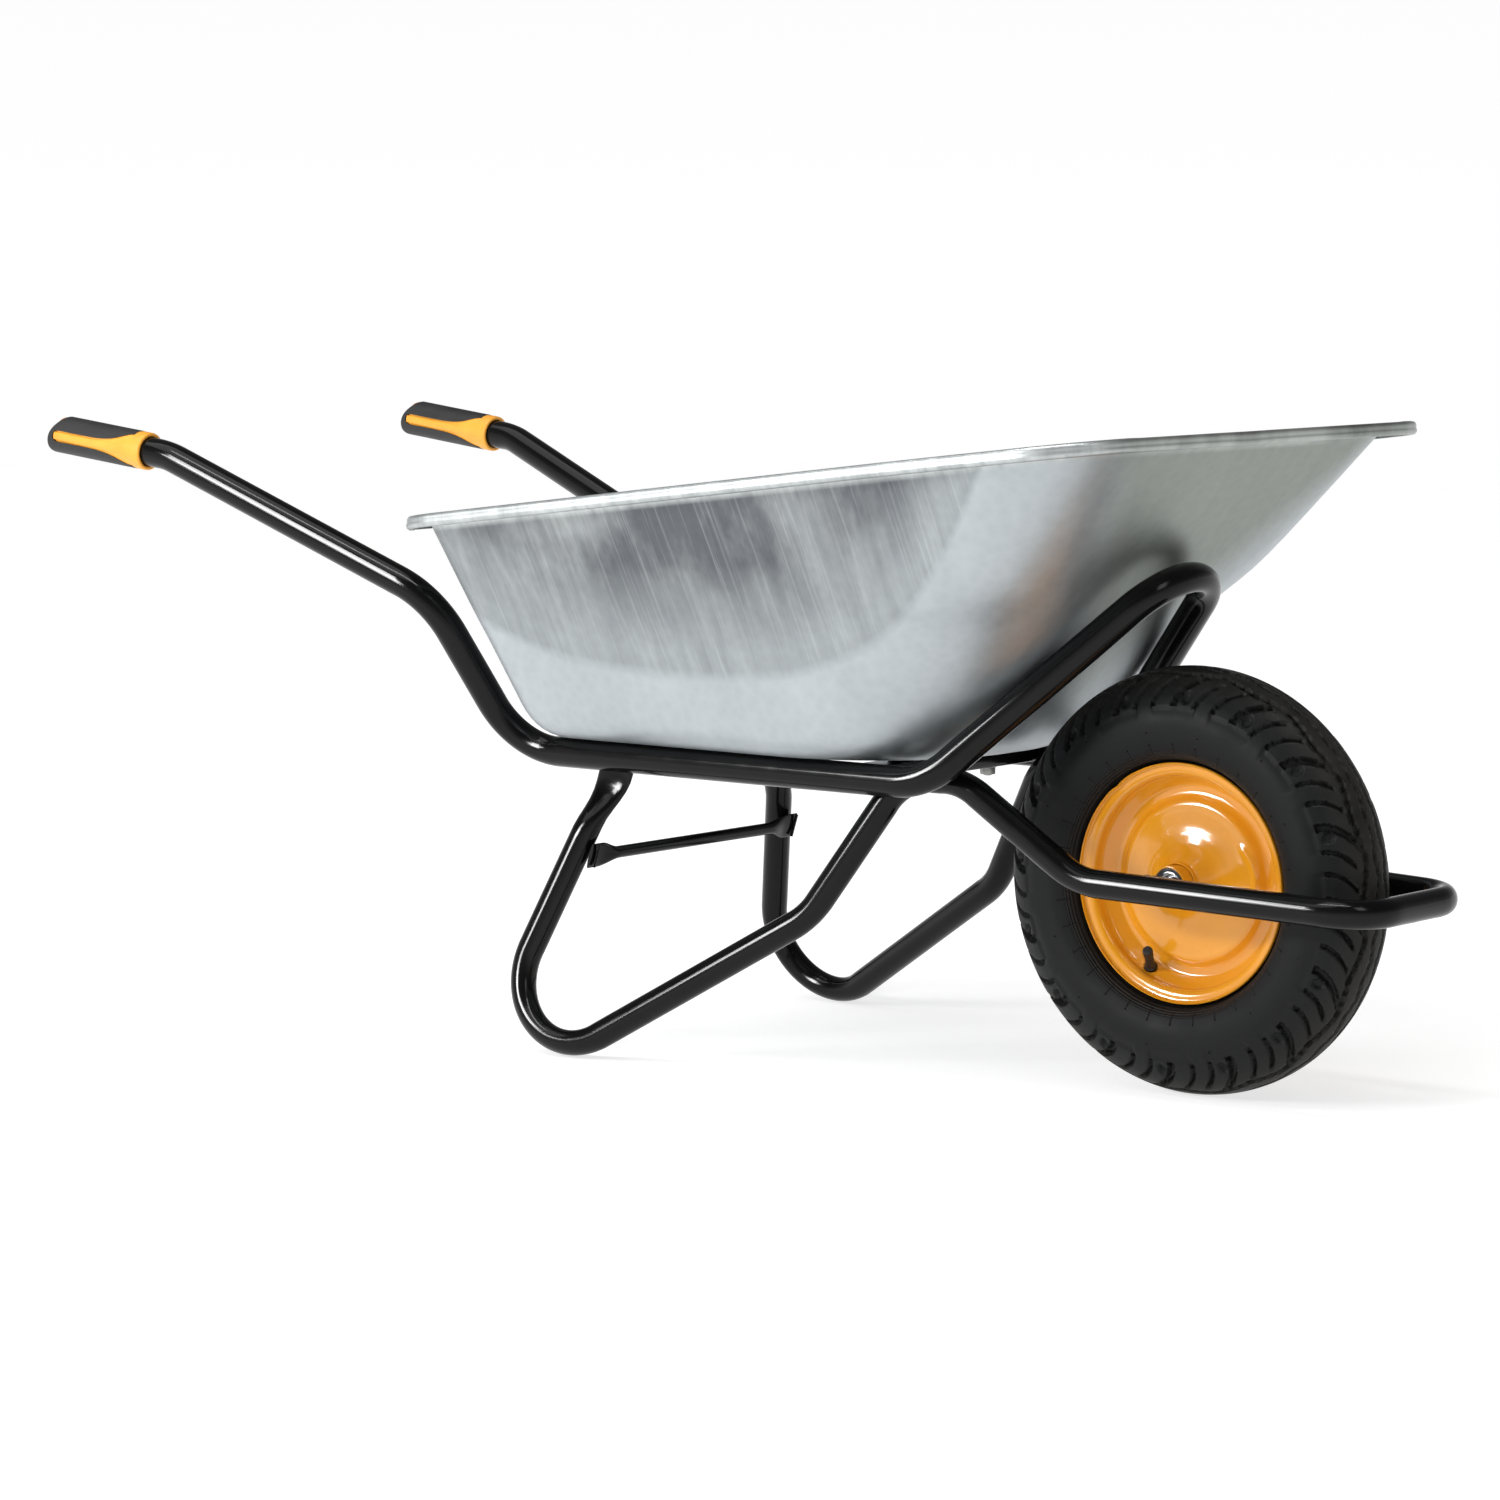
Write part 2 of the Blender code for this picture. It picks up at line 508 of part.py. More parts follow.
# ---------------------------------------------------------------- grips
def grip(tag, s):
    """Yellow core with a side stripe, and a black sleeve moulded over it."""
    front = Vector((GRIP_FRONT.x, -s * GRIP_FRONT.y, GRIP_FRONT.z))
    along = Vector((GRIP_DIR.x, -s * GRIP_DIR.y, GRIP_DIR.z))
    up = along.cross(Vector((0, 1, 0))).normalized()
    if up.z < 0:
        up = -up
    across = up.cross(along).normalized()
    frame = Matrix((along, across, up)).transposed().to_4x4()
    frame = Matrix.Translation(front) @ frame

    def window(name, clearance):
        c = clearance
        half_widths = [(0.0100, 0.0165), (0.0190, 0.0152), (0.0280, 0.0122), (0.0370, 0.0092), (0.0480, 0.0070),
                       (0.0620, 0.0058), (0.1180, 0.0056), (0.1210, 0.0030)]
        stretch = [(u + (c if u > 0.1 else 0), v + c) for u, v in half_widths]
        bm = bmesh.new()
        flat = [bm.verts.new((u, -0.03, v)) for u, v in stretch]
        flat += [bm.verts.new((u, -0.03, -v)) for u, v in reversed(stretch)]
        face = bm.faces.new(flat)
        moved = bmesh.ops.extrude_face_region(bm, geom=[face])
        verts = [g for g in moved["geom"] if isinstance(g, bmesh.types.BMVert)]
        bmesh.ops.translate(bm, vec=(0, 0.06, 0), verts=verts)
        bmesh.ops.transform(bm, matrix=frame, verts=bm.verts)
        return finish(name, bm, BLACK, cutters, smooth=False)

    core = lathe("grip_core_" + tag, front, along,
                 mm([(15.3, 0.5), (18.0, 0.0), (19.3, 1.5), (19.3, 11.0), (19.0, 13.6), (19.0, 121.2), (17.2, 121.2),
                     (17.2, 111.2), (15.3, 111.2)]), GRIP_YELLOW, 24)
    keep = lathe("grip_groove_" + tag, front, along,
                 mm([(17.0, 14.0), (24.0, 14.0), (24.0, 130.0), (17.0, 130.0)]), BLACK, 22, cutters)
    cut(keep, window("grip_stripe_" + tag, 0.0))
    cut(core, keep, in_pieces=True)

    sleeve = lathe("grip_sleeve_" + tag, front, along,
                   mm([(17.4, 14.3), (19.2, 14.3), (19.5, 16.0), (19.5, 150.0), (0, 150.0), (0, 112.0),
                       (17.4, 112.0)]), GRIP_BLACK, 24)
    slot = window("grip_slot_" + tag, GAP)
    cut(slot, rod("grip_heart_" + tag, front + along * 0.07, along, 0.0168, 0.20, BLACK, 22, cutters))
    cut(sleeve, slot, in_pieces=True)
    for i, (lean, reach) in enumerate(((9, 0.1290), (40, 0.1315))):
        bm = bmesh.new()
        tilt = Matrix.Rotation(-math.radians(lean), 4, "Y")
        box = Matrix.Translation((reach, 0, 0)) @ tilt @ Matrix.Translation((0.040, 0, 0))
        bmesh.ops.create_cube(bm, size=0.080, matrix=frame @ box)
        cut(sleeve, finish("grip_end_" + tag + "_" + str(i + 1), bm, BLACK, cutters, smooth=False))


grip("right", -1)
grip("left", 1)
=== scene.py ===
import math

import bmesh
import bpy
import numpy as np
from mathutils import Matrix, Vector
from mathutils.geometry import delaunay_2d_cdt
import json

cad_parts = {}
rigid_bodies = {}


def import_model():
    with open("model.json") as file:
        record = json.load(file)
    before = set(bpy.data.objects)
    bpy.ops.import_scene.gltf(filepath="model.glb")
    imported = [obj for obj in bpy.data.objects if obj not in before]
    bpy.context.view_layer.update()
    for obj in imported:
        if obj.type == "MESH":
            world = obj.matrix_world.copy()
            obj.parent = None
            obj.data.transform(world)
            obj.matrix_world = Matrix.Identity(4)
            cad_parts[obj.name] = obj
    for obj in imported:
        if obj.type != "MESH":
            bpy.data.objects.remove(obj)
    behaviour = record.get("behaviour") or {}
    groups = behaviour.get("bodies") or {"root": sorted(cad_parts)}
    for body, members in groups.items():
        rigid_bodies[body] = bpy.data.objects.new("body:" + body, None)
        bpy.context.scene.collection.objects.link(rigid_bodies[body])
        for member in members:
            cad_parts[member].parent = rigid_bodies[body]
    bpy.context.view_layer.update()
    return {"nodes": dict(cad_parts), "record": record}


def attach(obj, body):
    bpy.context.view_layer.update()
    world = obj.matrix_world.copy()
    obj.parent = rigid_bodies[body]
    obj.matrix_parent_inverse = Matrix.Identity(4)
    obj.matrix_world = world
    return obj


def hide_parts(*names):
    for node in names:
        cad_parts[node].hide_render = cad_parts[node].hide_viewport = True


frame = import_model()

AXLE = Vector(frame["record"]["behaviour"]["joints"][0]["pos_m"])
AXLE_X, AXLE_Z = AXLE.x, AXLE.z
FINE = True
SEED = 7

# metres; an x in this list and in a call of at() is counted from the axle
TUBE_R = 0.015
LEG_R = 0.0135
GAP = 0.0003
RAIL_Y = 0.1475
RAIL_Z = 0.288
TRAY_WALL = 0.001
TRAY_FLOOR_Z = RAIL_Z + TUBE_R + GAP
DIMPLE_Z = TRAY_FLOOR_Z - 0.005
RIM_REAR_X = -0.665
RIM_REAR_Z = 0.5315
RIM_SLOPE = 0.1207
BAR_H = 0.017
BAR_TOP = DIMPLE_Z - GAP
BAR_BASE = BAR_TOP - BAR_H
BAR_WIDTH = 0.036
BAR_WALL = 0.0015
BAR_HALF = RAIL_Y - TUBE_R - 0.0007
FRONT_BAR_X = -0.292
REAR_BAR_X = -0.637
REAR_BOLT_X = -0.626
BOLT_Y = 0.07
# each side's name and the sign of its y
SIDES = (("right", -1), ("left", 1))


def at(x, y, z):
    """A point given from the axle line and the ground."""
    return Vector((AXLE_X + x, y, z))


def on_side(s, point):
    """A point or direction given for the right side, and moved to the left one where s is 1."""
    return Vector((point.x, -s * point.y, point.z))


def smooth_step(t):
    t = np.clip(t, 0.0, 1.0)
    return t * t * (3 - 2 * t)


def hump(distance):
    """1 at no distance, falling away smoothly on both sides."""
    return np.exp(-distance ** 2)


# -------- materials
class Value:
    """A node's output, which can stand in a sum or a product."""

    def __init__(self, nodes, socket):
        self.nodes = nodes
        self.socket = socket

    def __add__(self, other):
        return self.nodes.math("ADD", self, other)

    def __sub__(self, other):
        return self.nodes.math("SUBTRACT", self, other)

    def __rsub__(self, other):
        return self.nodes.math("SUBTRACT", other, self)

    def __mul__(self, other):
        return self.nodes.math("MULTIPLY", self, other)

    def __pow__(self, other):
        return self.nodes.math("POWER", self, other)

    def __abs__(self):
        return self.nodes.math("ABSOLUTE", self)


class Nodes:
    """Short names for the nodes of one material or of the world."""

    def __init__(self, owner, shader="Principled BSDF", coords="Object"):
        owner.use_nodes = True
        self.owner = owner
        self.tree = owner.node_tree
        self.shader = self.tree.nodes[shader]
        self.coords = self.put("TexCoord", {}, coords)

    def fill(self, slot, value):
        """Give an input a number, a vector, a colour or a node's output."""
        if isinstance(value, Value):
            self.tree.links.new(value.socket, slot)
        elif isinstance(value, tuple) and len(slot.default_value) == 4:
            slot.default_value = (*value, 1.0)
        else:
            slot.default_value = value

    def put(self, kind, inputs, output, **settings):
        """Add a node, fill its inputs and give one of its outputs."""
        node = self.tree.nodes.new("ShaderNode" + kind)
        for key, value in settings.items():
            setattr(node, key, value)
        for key, value in inputs.items():
            self.fill(node.inputs[key], value)
        return Value(self, node.outputs[output])

    def split(self, vector):
        """The x, y and z of a vector."""
        node = self.tree.nodes.new("ShaderNodeSeparateXYZ")
        self.fill(node.inputs["Vector"], vector)
        return [Value(self, output) for output in node.outputs]

    def mapped(self, scale):
        return self.put("Mapping", {"Vector": self.coords, "Scale": scale}, "Vector")

    def noise(self, scale, detail, rough=0.5, vector=None, distortion=0.0):
        inputs = {"Vector": vector or self.coords, "Scale": scale, "Detail": detail, "Roughness": rough,
                  "Distortion": distortion}
        return self.put("TexNoise", inputs, "Fac")

    def cells(self, scale):
        """The distance from the nearest of many scattered points."""
        return self.put("TexVoronoi", {"Vector": self.coords, "Scale": scale}, "Distance")

    def ramp(self, value, stops):
        """A colour ramp, each of whose stops is a place and a colour or a grey."""
        node = self.tree.nodes.new("ShaderNodeValToRGB")
        elements = node.color_ramp.elements
        while len(elements) < len(stops):
            elements.new(0.5)
        for element, (place, colour) in zip(elements, stops):
            element.position = place
            element.color = (*colour, 1.0) if isinstance(colour, tuple) else (colour, colour, colour, 1.0)
        self.fill(node.inputs["Fac"], value)
        return Value(self, node.outputs["Color"])

    def span(self, value, low, high, new_low=0.0, new_high=1.0):
        """Stretch the range low to high over new_low to new_high, and hold the ends beyond it."""
        inputs = {"Value": value, "From Min": low, "From Max": high, "To Min": new_low, "To Max": new_high}
        return self.put("MapRange", inputs, "Result")

    def between(self, value, low, high, soft):
        """1 from low to high and 0 beyond, with soft edges inside."""
        return self.span(value, low, low + soft) * self.span(value, high - soft, high, 1.0, 0.0)

    def math(self, operation, *values):
        return self.put("Math", dict(enumerate(values)), "Value", operation=operation)

    def mix(self, share, a, b, blend="MIX"):
        """Mix two colours, which are inputs 6 and 7 of the node."""
        return self.put("Mix", {0: share, 6: a, 7: b}, 2, data_type="RGBA", blend_type=blend)

    def bump(self, height, strength, distance, below=None):
        inputs = {"Height": height, "Strength": strength, "Distance": distance}
        if below is not None:
            inputs["Normal"] = below
        return self.put("Bump", inputs, "Normal")

    def set(self, **values):
        """Fill the shader's inputs and give the material or the world."""
        for key, value in values.items():
            self.fill(self.shader.inputs[key.replace("_", " ")], value)
        return self.owner


def material(name):
    return Nodes(bpy.data.materials.new(name))


def black_enamel():
    n = material("black_enamel_fine")
    colour = n.ramp(n.noise(9.0, 5.0), [(0.3, (0.0026, 0.0026, 0.0028)), (0.7, (0.0048, 0.0047, 0.0046))])
    dust = n.span(n.noise(520.0, 2.0), 0.7, 0.78, 0.0, 0.35)
    peel = n.bump(n.noise(260.0, 2.0), strength=0.007, distance=0.0006)
    return n.set(Base_Color=n.mix(dust, colour, (0.018, 0.017, 0.016)),
                 Roughness=n.span(n.noise(38.0, 4.0), 0.3, 0.7, 0.11, 0.17), Normal=peel,
                 Specular_IOR_Level=0.18)


def galvanised():
    """Pale clouded zinc low on the walls as painted reflection of the floor; above it a streaky band with
    dark clouds, made darker as painted shade; a plain nose darkened as painted shade; and a worn hem.
    """
    n = material("galvanised_sheet_painted_shade")
    x, y, z = n.split(n.coords)
    # the lower edge of the painted shade, above the painted floor reflection, sags in an arc between the
    # tray's corners and wavers a little
    arc = abs(x - (AXLE_X - 0.45)) ** 3.0 * 3.3
    shade_edge_drift = n.span(n.noise(2.4, 2.0, vector=n.mapped((1.0, 0.3, 0.2))), 0.3, 0.7, -0.01, 0.01)
    height = z - arc + shade_edge_drift
    # painted shade: these masks darken the upper walls, in two steps towards the rim
    shade_band = n.span(height, 0.376, 0.388)
    deep = n.span(height, 0.405, 0.49)
    # painted shade: the nose, the front of the tray, is made darker
    nose_shade = n.span(x - abs(y) * 0.9, AXLE_X - 0.185, AXLE_X - 0.105)
    hem = n.span(z - (x - (AXLE_X + RIM_REAR_X)) * RIM_SLOPE, RIM_REAR_Z - 0.018, RIM_REAR_Z - 0.013)
    # streaks run down each wall: their place goes along the wall, and stays the same as the wall slopes out
    facing_x, facing_y, _ = n.split(n.put("NewGeometry", {}, "True Normal"))
    side_wall = n.math("GREATER_THAN", abs(facing_y), abs(facing_x))
    place = x * side_wall + y * (1.0 - side_wall) + z * 0.13

    def down_wall(across, down):
        return n.put("CombineXYZ", {"X": place * across, "Z": z * down}, "Vector")

    streak = n.noise(1.0, 6.0, 0.62, vector=down_wall(46.0, 5.0), distortion=0.5)
    fine = n.noise(1.0, 3.0, 0.6, vector=down_wall(260.0, 5.0))
    blotch = n.noise(8.5, 5.0, 0.6, vector=n.mapped((1.0, 1.0, 0.42)))
    bright = (0.42, 0.445, 0.45)
    # painted reflection of the floor low on the walls, painted shade in the streaky band above it and darker
    # painted shade near the rim
    low = n.ramp(blotch, [(0.3, (0.375, 0.41, 0.43)), (0.7, (0.45, 0.485, 0.505))])
    mid_painted_shade = n.ramp(streak, [(0.25, (0.26, 0.283, 0.292)), (0.6, (0.335, 0.362, 0.37)), (0.85, bright)])
    top = n.ramp(streak, [(0.25, (0.175, 0.188, 0.196)), (0.55, (0.268, 0.286, 0.292)), (0.82, bright)])
    # painted shade on the nose
    front = n.ramp(blotch, [(0.3, (0.215, 0.236, 0.215)), (0.7, (0.255, 0.276, 0.254))])
    worn = n.ramp(streak, [(0.25, (0.28, 0.3, 0.3)), (0.5, (0.44, 0.465, 0.465)),
                           (0.8, (0.6, 0.63, 0.63))])
    # painted shade on the hem along the nose
    nose_hem_shade = n.ramp(blotch, [(0.35, (0.2, 0.215, 0.2)), (0.62, (0.42, 0.445, 0.42))])
    # dark clouds near the rim: partly the zinc's own blotches, partly painted shade
    top = n.mix(n.span(blotch, 0.43, 0.6, 0.0, 0.88), top, (0.098, 0.107, 0.118))
    colour = n.mix(deep, n.mix(shade_band, low, mid_painted_shade), top)
    colour = n.mix(n.span(fine, 0.54, 0.74, 0.0, 0.22) * shade_band, colour, (0.62, 0.64, 0.65))
    colour = n.mix(nose_shade, colour, front)
    colour = n.mix(hem, colour, n.mix(nose_shade, worn, nose_hem_shade))
    spangle = n.span(n.cells(95.0), 0.0, 0.9, 0.95, 1.04)
    colour = n.mix(1.0, colour, spangle, blend="MULTIPLY")
    rough = n.span(streak, 0.25, 0.8, 0.47, 0.37) + n.span(blotch, 0.3, 0.7, -0.03, 0.06)
    scratches = n.bump(fine, strength=0.1, distance=0.0005)
    dents = n.bump(n.noise(24.0, 3.0), strength=0.14, distance=0.001, below=scratches)
    return n.set(Base_Color=colour, Metallic=0.88, Roughness=rough, Normal=dents)


def orange_enamel():
    n = material("orange_enamel_fine")
    colour = n.ramp(n.noise(11.0, 3.0), [(0.3, (0.72, 0.285, 0.01)), (0.7, (0.78, 0.325, 0.014))])
    specks = n.span(n.noise(430.0, 1.0), 0.72, 0.8, 0.0, 0.5)
    peel = n.bump(n.noise(210.0, 2.0), strength=0.06, distance=0.0006)
    waves = n.bump(n.noise(34.0, 2.0), strength=0.1, distance=0.0014, below=peel)
    return n.set(Base_Color=n.mix(specks, colour, (0.45, 0.16, 0.012)),
                 Roughness=n.span(n.noise(30.0, 3.0), 0.3, 0.7, 0.13, 0.21), Normal=waves,
                 Coat_Weight=0.45, Coat_Roughness=0.04, Specular_IOR_Level=0.4)


RIB_LINES = 32
RIB_RING_R = 0.1306
BEAD_RING_PITCH = 0.0021


def tyre_rubber():
    """Mottled rubber, dusty on the tread, with moulding rings and short radial ribs just outside the rim."""
    n = material("tyre_rubber_fine")
    x, _, z = n.split(n.coords)
    ahead, up = x - AXLE_X, z - AXLE_Z
    radius = n.math("SQRT", ahead ** 2.0 + up ** 2.0)
    angle = n.math("ARCTAN2", up, ahead)
    mottled = n.noise(26.0, 6.0, 0.6)
    side = n.ramp(mottled, [(0.3, (0.0026, 0.0029, 0.0031)), (0.72, (0.0056, 0.006, 0.0063))])
    worn = n.ramp(mottled, [(0.25, (0.007, 0.0068, 0.0062)), (0.75, (0.019, 0.0178, 0.0155))])
    rings = n.math("SINE", radius * (2 * math.pi / BEAD_RING_PITCH))
    ribs = abs(n.math("COSINE", angle * (RIB_LINES / 2))) ** 420.0
    height = (rings * (n.between(radius, 0.1145, 0.1245, 0.002) * 0.55)
              + ribs * (n.between(radius, 0.1195, 0.131, 0.001) * 1.4))
    normal = n.bump(height, strength=0.7, distance=0.0009)
    normal = n.bump(n.noise(650.0, 3.0), strength=0.12, distance=0.0005, below=normal)
    normal = n.bump(n.noise(60.0, 4.0), strength=0.16, distance=0.001, below=normal)
    return n.set(Base_Color=n.mix(n.span(radius, 0.176, 0.197), side, worn),
                 Roughness=n.span(mottled, 0.3, 0.72, 0.46, 0.62), Normal=normal, Specular_IOR_Level=0.2)


def soft_rubber(name, dark, light, rough, pores):
    n = material(name)
    mottled = n.noise(48.0, 4.0)
    grain = n.span(n.cells(pores), 0.0, 0.55, 1.0, 0.0)
    return n.set(Base_Color=n.ramp(mottled, [(0.3, dark), (0.7, light)]),
                 Roughness=n.span(mottled, 0.3, 0.7, *rough),
                 Normal=n.bump(grain, strength=0.22, distance=0.0005), Specular_IOR_Level=0.45)


def metal(name, dark, light, rough, grains):
    n = material(name)
    grain = n.noise(grains, 4.0)
    return n.set(Base_Color=n.mix(n.span(n.noise(90.0, 4.0), 0.35, 0.7), dark, light), Metallic=1.0,
                 Roughness=n.span(grain, 0.3, 0.7, *rough),
                 Normal=n.bump(grain, strength=0.08, distance=0.0003))


# a finish is a material and the slot that it goes to
BLACK = (black_enamel(), "black_enamel")
ZINC_SHEET = (galvanised(), "galvanised")
ORANGE = (orange_enamel(), "orange_enamel")
TYRE = (tyre_rubber(), "tyre_rubber")
VALVE = (soft_rubber("valve_rubber", 0.008, 0.016, (0.34, 0.48), 900.0), "tyre_rubber")
GRIP_BLACK = (
    soft_rubber("grip_rubber_fine", (0.01, 0.01, 0.011), (0.019, 0.019, 0.02), (0.5, 0.66), 1150.0),
    "grip_rubber")
GRIP_YELLOW = (
    soft_rubber("grip_yellow_fine", (0.82, 0.335, 0.03), (0.9, 0.405, 0.045), (0.34, 0.46), 700.0),
    "grip_plastic")
RING_STEEL = (metal("bearing_steel", (0.28, 0.29, 0.3), (0.46, 0.47, 0.48), (0.14, 0.26), 300.0),
              "bright_steel")
# painted shade: the bearings' outer races are dark steel, standing in for the shadow of the hub tube's end
SHADED_RACE_STEEL = (metal("bearing_race_painted_shade", (0.06, 0.064, 0.066), (0.105, 0.11, 0.112), (0.28, 0.42), 300.0),
              "bright_steel")
# zinc plating made darker than bright zinc; this darkness is painted shade, set for the bolts in the shadow
# under the tray
FASTENER = (metal("zinc_plating_darkened_shade", (0.2, 0.2, 0.19), (0.34, 0.34, 0.32), (0.28, 0.46), 160.0),
            "zinc_fastener")


# -------- mesh helpers
def dress(obj, finish, body, *nodes):
    """Give a piece its material and body, and hide the CAD nodes that it stands for."""
    mat, slot = finish
    obj.data.materials.clear()
    obj.data.materials.append(mat)
    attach(obj, body)
    if nodes:
        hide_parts(*nodes)
    return obj


def from_arrays(name, points, faces, sharp=None):
    """A smooth piece with creases where its faces turn by more than sharp degrees."""
    mesh = bpy.data.meshes.new(name)
    mesh.from_pydata([tuple(p) for p in np.asarray(points, float)], [], [tuple(f) for f in faces])
    bm = bmesh.new()
    bm.from_mesh(mesh)
    bmesh.ops.remove_doubles(bm, verts=bm.verts, dist=2e-6)
    bmesh.ops.dissolve_degenerate(bm, edges=bm.edges, dist=1e-7)
    bmesh.ops.recalc_face_normals(bm, faces=bm.faces)
    bm.to_mesh(mesh)
    bm.free()
    mesh.shade_smooth()
    if sharp is not None:
        mesh.set_sharp_from_angle(angle=math.radians(sharp))
    obj = bpy.data.objects.new(name, mesh)
    bpy.context.scene.collection.objects.link(obj)
    return obj


def grid_faces(rows, columns, closed=False, start=0):
    """Quads between neighbouring rings of points; closed joins the last ring to the first."""
    a, b = np.meshgrid(np.arange(rows if closed else rows - 1), np.arange(columns), indexing="ij")
    a2, b2 = (a + 1) % rows, (b + 1) % columns
    quads = np.stack([a * columns + b, a * columns + b2, a2 * columns + b2, a2 * columns + b], -1)
    return (quads.reshape(-1, 4) + start).tolist()


def closed_skin(name, rings, sharp):
    """A piece from rings of points, the last joined to the first."""
    rings = np.asarray(rings)
    return from_arrays(name, rings.reshape(-1, 3), grid_faces(*rings.shape[:2], closed=True), sharp)


def circle(count):
    return np.linspace(0, 2 * math.pi, count, endpoint=False)


def mm(pairs):
    return [(r / 1000, h / 1000) for r, h in pairs]


def curve(a, b, c, d, t):
    """Places t of the way from b to c on the smooth line through four points."""
    return 0.5 * (2 * b + (c - a) * t + (2 * a - 5 * b + 4 * c - d) * t ** 2
                  + (3 * b - a - 3 * c + d) * t ** 3)


def corner_arc(a, corner, b, t):
    """A place t of the way from a to b on a curve that bends at the corner."""
    return a * (1 - t) ** 2 + corner * 2 * t * (1 - t) + b * t ** 2


def resample(points, count):
    """A smooth line through the given points, with count points evenly along it."""
    p = np.asarray(points, float)
    pad = np.vstack([2 * p[0] - p[1], p, 2 * p[-1] - p[-2]])
    steps = np.linspace(0, 1, 24, endpoint=False)[:, None]
    fine = np.vstack([curve(*pad[i:i + 4], steps) for i in range(len(pad) - 3)] + [p[-1:]])
    length = np.r_[0, np.cumsum(np.linalg.norm(np.diff(fine, axis=0), axis=1))]
    want = np.linspace(0, length[-1], count)
    return np.stack([np.interp(want, length, fine[:, k]) for k in range(p.shape[1])], -1)


def rounded(line, radius, steps=4, closed=True, most=0.45):
    """An outline with an arc at each corner off the axis, which takes up at most a share of each side."""
    p = np.asarray(line, float)
    out = []
    for i, here in enumerate(p):
        is_end = not closed and i in (0, len(p) - 1)
        if is_end or abs(here[0]) < 1e-9:
            out.append(here)
            continue
        back, ahead = p[i - 1] - here, p[(i + 1) % len(p)] - here
        reach = min(radius, most * np.linalg.norm(back), most * np.linalg.norm(ahead))
        a = here + back / np.linalg.norm(back) * reach
        b = here + ahead / np.linalg.norm(ahead) * reach
        out += [corner_arc(a, here, b, k / steps) for k in range(steps + 1)]
    return np.array(out)


def ring_profile(inner_r, outer_r, length, edge=0.0004):
    return rounded([(inner_r, 0), (outer_r, 0), (outer_r, length), (inner_r, length)], edge, 3)


def stood(local, origin, axis):
    """Points made round the z axis, set at origin round another axis."""
    turn = Vector((0, 0, 1)).rotation_difference(Vector(axis)).to_matrix()
    return np.asarray(local) @ np.array(turn).T + np.array(origin)


def spun(name, profile, origin, axis, steps=64, sharp=40, warp=None):
    """Spin a closed (radius, height) outline about an axis through origin."""
    profile = np.asarray(profile, float)
    angles = circle(steps)
    r, h = profile[:, 0][:, None], profile[:, 1][:, None]
    local = np.stack([r * np.cos(angles), r * np.sin(angles), np.repeat(h, steps, 1)], -1)
    if warp is not None:
        local = warp(local)
    return closed_skin(name, stood(local, origin, axis), sharp)


def rod(radius, half):
    """The outline of a plain rod, for cutting a hole."""
    return [(0, -half), (radius, -half), (radius, half), (0, half)]


def bent_path(corners, step):
    """Straight runs joined by arcs, which have a point every step or so, and how bent each point is."""
    points = [corners[0][0]]
    bends = [0.0]
    for i in range(1, len(corners) - 1):
        corner, radius = corners[i]
        back = (corners[i - 1][0] - corner).normalized()
        ahead = (corners[i + 1][0] - corner).normalized()
        half = back.angle(ahead) / 2
        reach = radius / math.tan(half)
        middle = corner + (back + ahead).normalized() * (radius / math.sin(half))
        start = corner + back * reach - middle
        turn = math.pi - 2 * half
        axis = start.cross(corner + ahead * reach - middle).normalized()
        count = max(6, round(radius * turn / step))
        for k in range(count + 1):
            points.append(middle + Matrix.Rotation(turn * k / count, 3, axis) @ start)
            bends.append(max(0.0, math.sin(math.pi * k / count)) ** 0.7 * min(1.0, 0.045 / radius * turn))
    points.append(corners[-1][0])
    bends.append(0.0)
    return points, bends


def spaced(points, bends, most):
    """Add points so that no step is longer than most."""
    out, out_bends = [points[0]], [bends[0]]
    for i in range(1, len(points)):
        count = max(1, math.ceil((points[i] - points[i - 1]).length / most))
        for k in range(1, count + 1):
            out.append(points[i - 1].lerp(points[i], k / count))
            out_bends.append(bends[i - 1] + (bends[i] - bends[i - 1]) * k / count)
    return out, out_bends


def tube(name, points, radius, sides=32, bends=None, squash=0.0, reshape=None):
    """A round tube along the points, a little flattened where it is bent, with closed ends."""
    p = np.array([list(v) for v in points])
    tangent = np.gradient(p, axis=0)
    tangent /= np.linalg.norm(tangent, axis=1, keepdims=True)
    upright = abs(tangent[0][2]) > 0.99
    side = np.cross(tangent[0], (1.0, 0, 0) if upright else (0, 0, 1.0))
    side /= np.linalg.norm(side)
    rings = []
    angles = circle(sides)
    for i in range(len(p)):
        side = side - tangent[i] * side.dot(tangent[i])
        side /= np.linalg.norm(side)
        ring = np.outer(np.cos(angles), side) + np.outer(np.sin(angles), np.cross(tangent[i], side))
        if bends is not None and bends[i] > 0:
            inward = p[i - 1] + p[i + 1] - 2 * p[i]
            inward /= max(np.linalg.norm(inward), 1e-9)
            ring = ring - np.outer(ring @ inward, inward) * squash * bends[i]
        rings.append(p[i] + ring * radius)
    grid = np.array(rings)
    if reshape is not None:
        grid = reshape(grid)
    count = len(grid) * sides
    ends = [list(range(sides)), list(range(count - sides, count))[::-1]]
    return from_arrays(name, grid.reshape(-1, 3), grid_faces(len(grid), sides) + ends, 50)


def weld(name, points, radius):
    """A rippled weld bead along a line of points."""
    beads = [Vector(p) for p in resample([list(p) for p in points], 20 * len(points))]
    ripple = 1 + 0.16 * np.sin(np.arange(len(beads)) * 1.25)
    ripple[0] = ripple[-1] = 0.35

    def swell(grid):
        centre = grid.mean(1, keepdims=True)
        return centre + (grid - centre) * ripple[:, None, None]

    return dress(tube(name, beads, radius, sides=10, reshape=swell), BLACK, "frame")


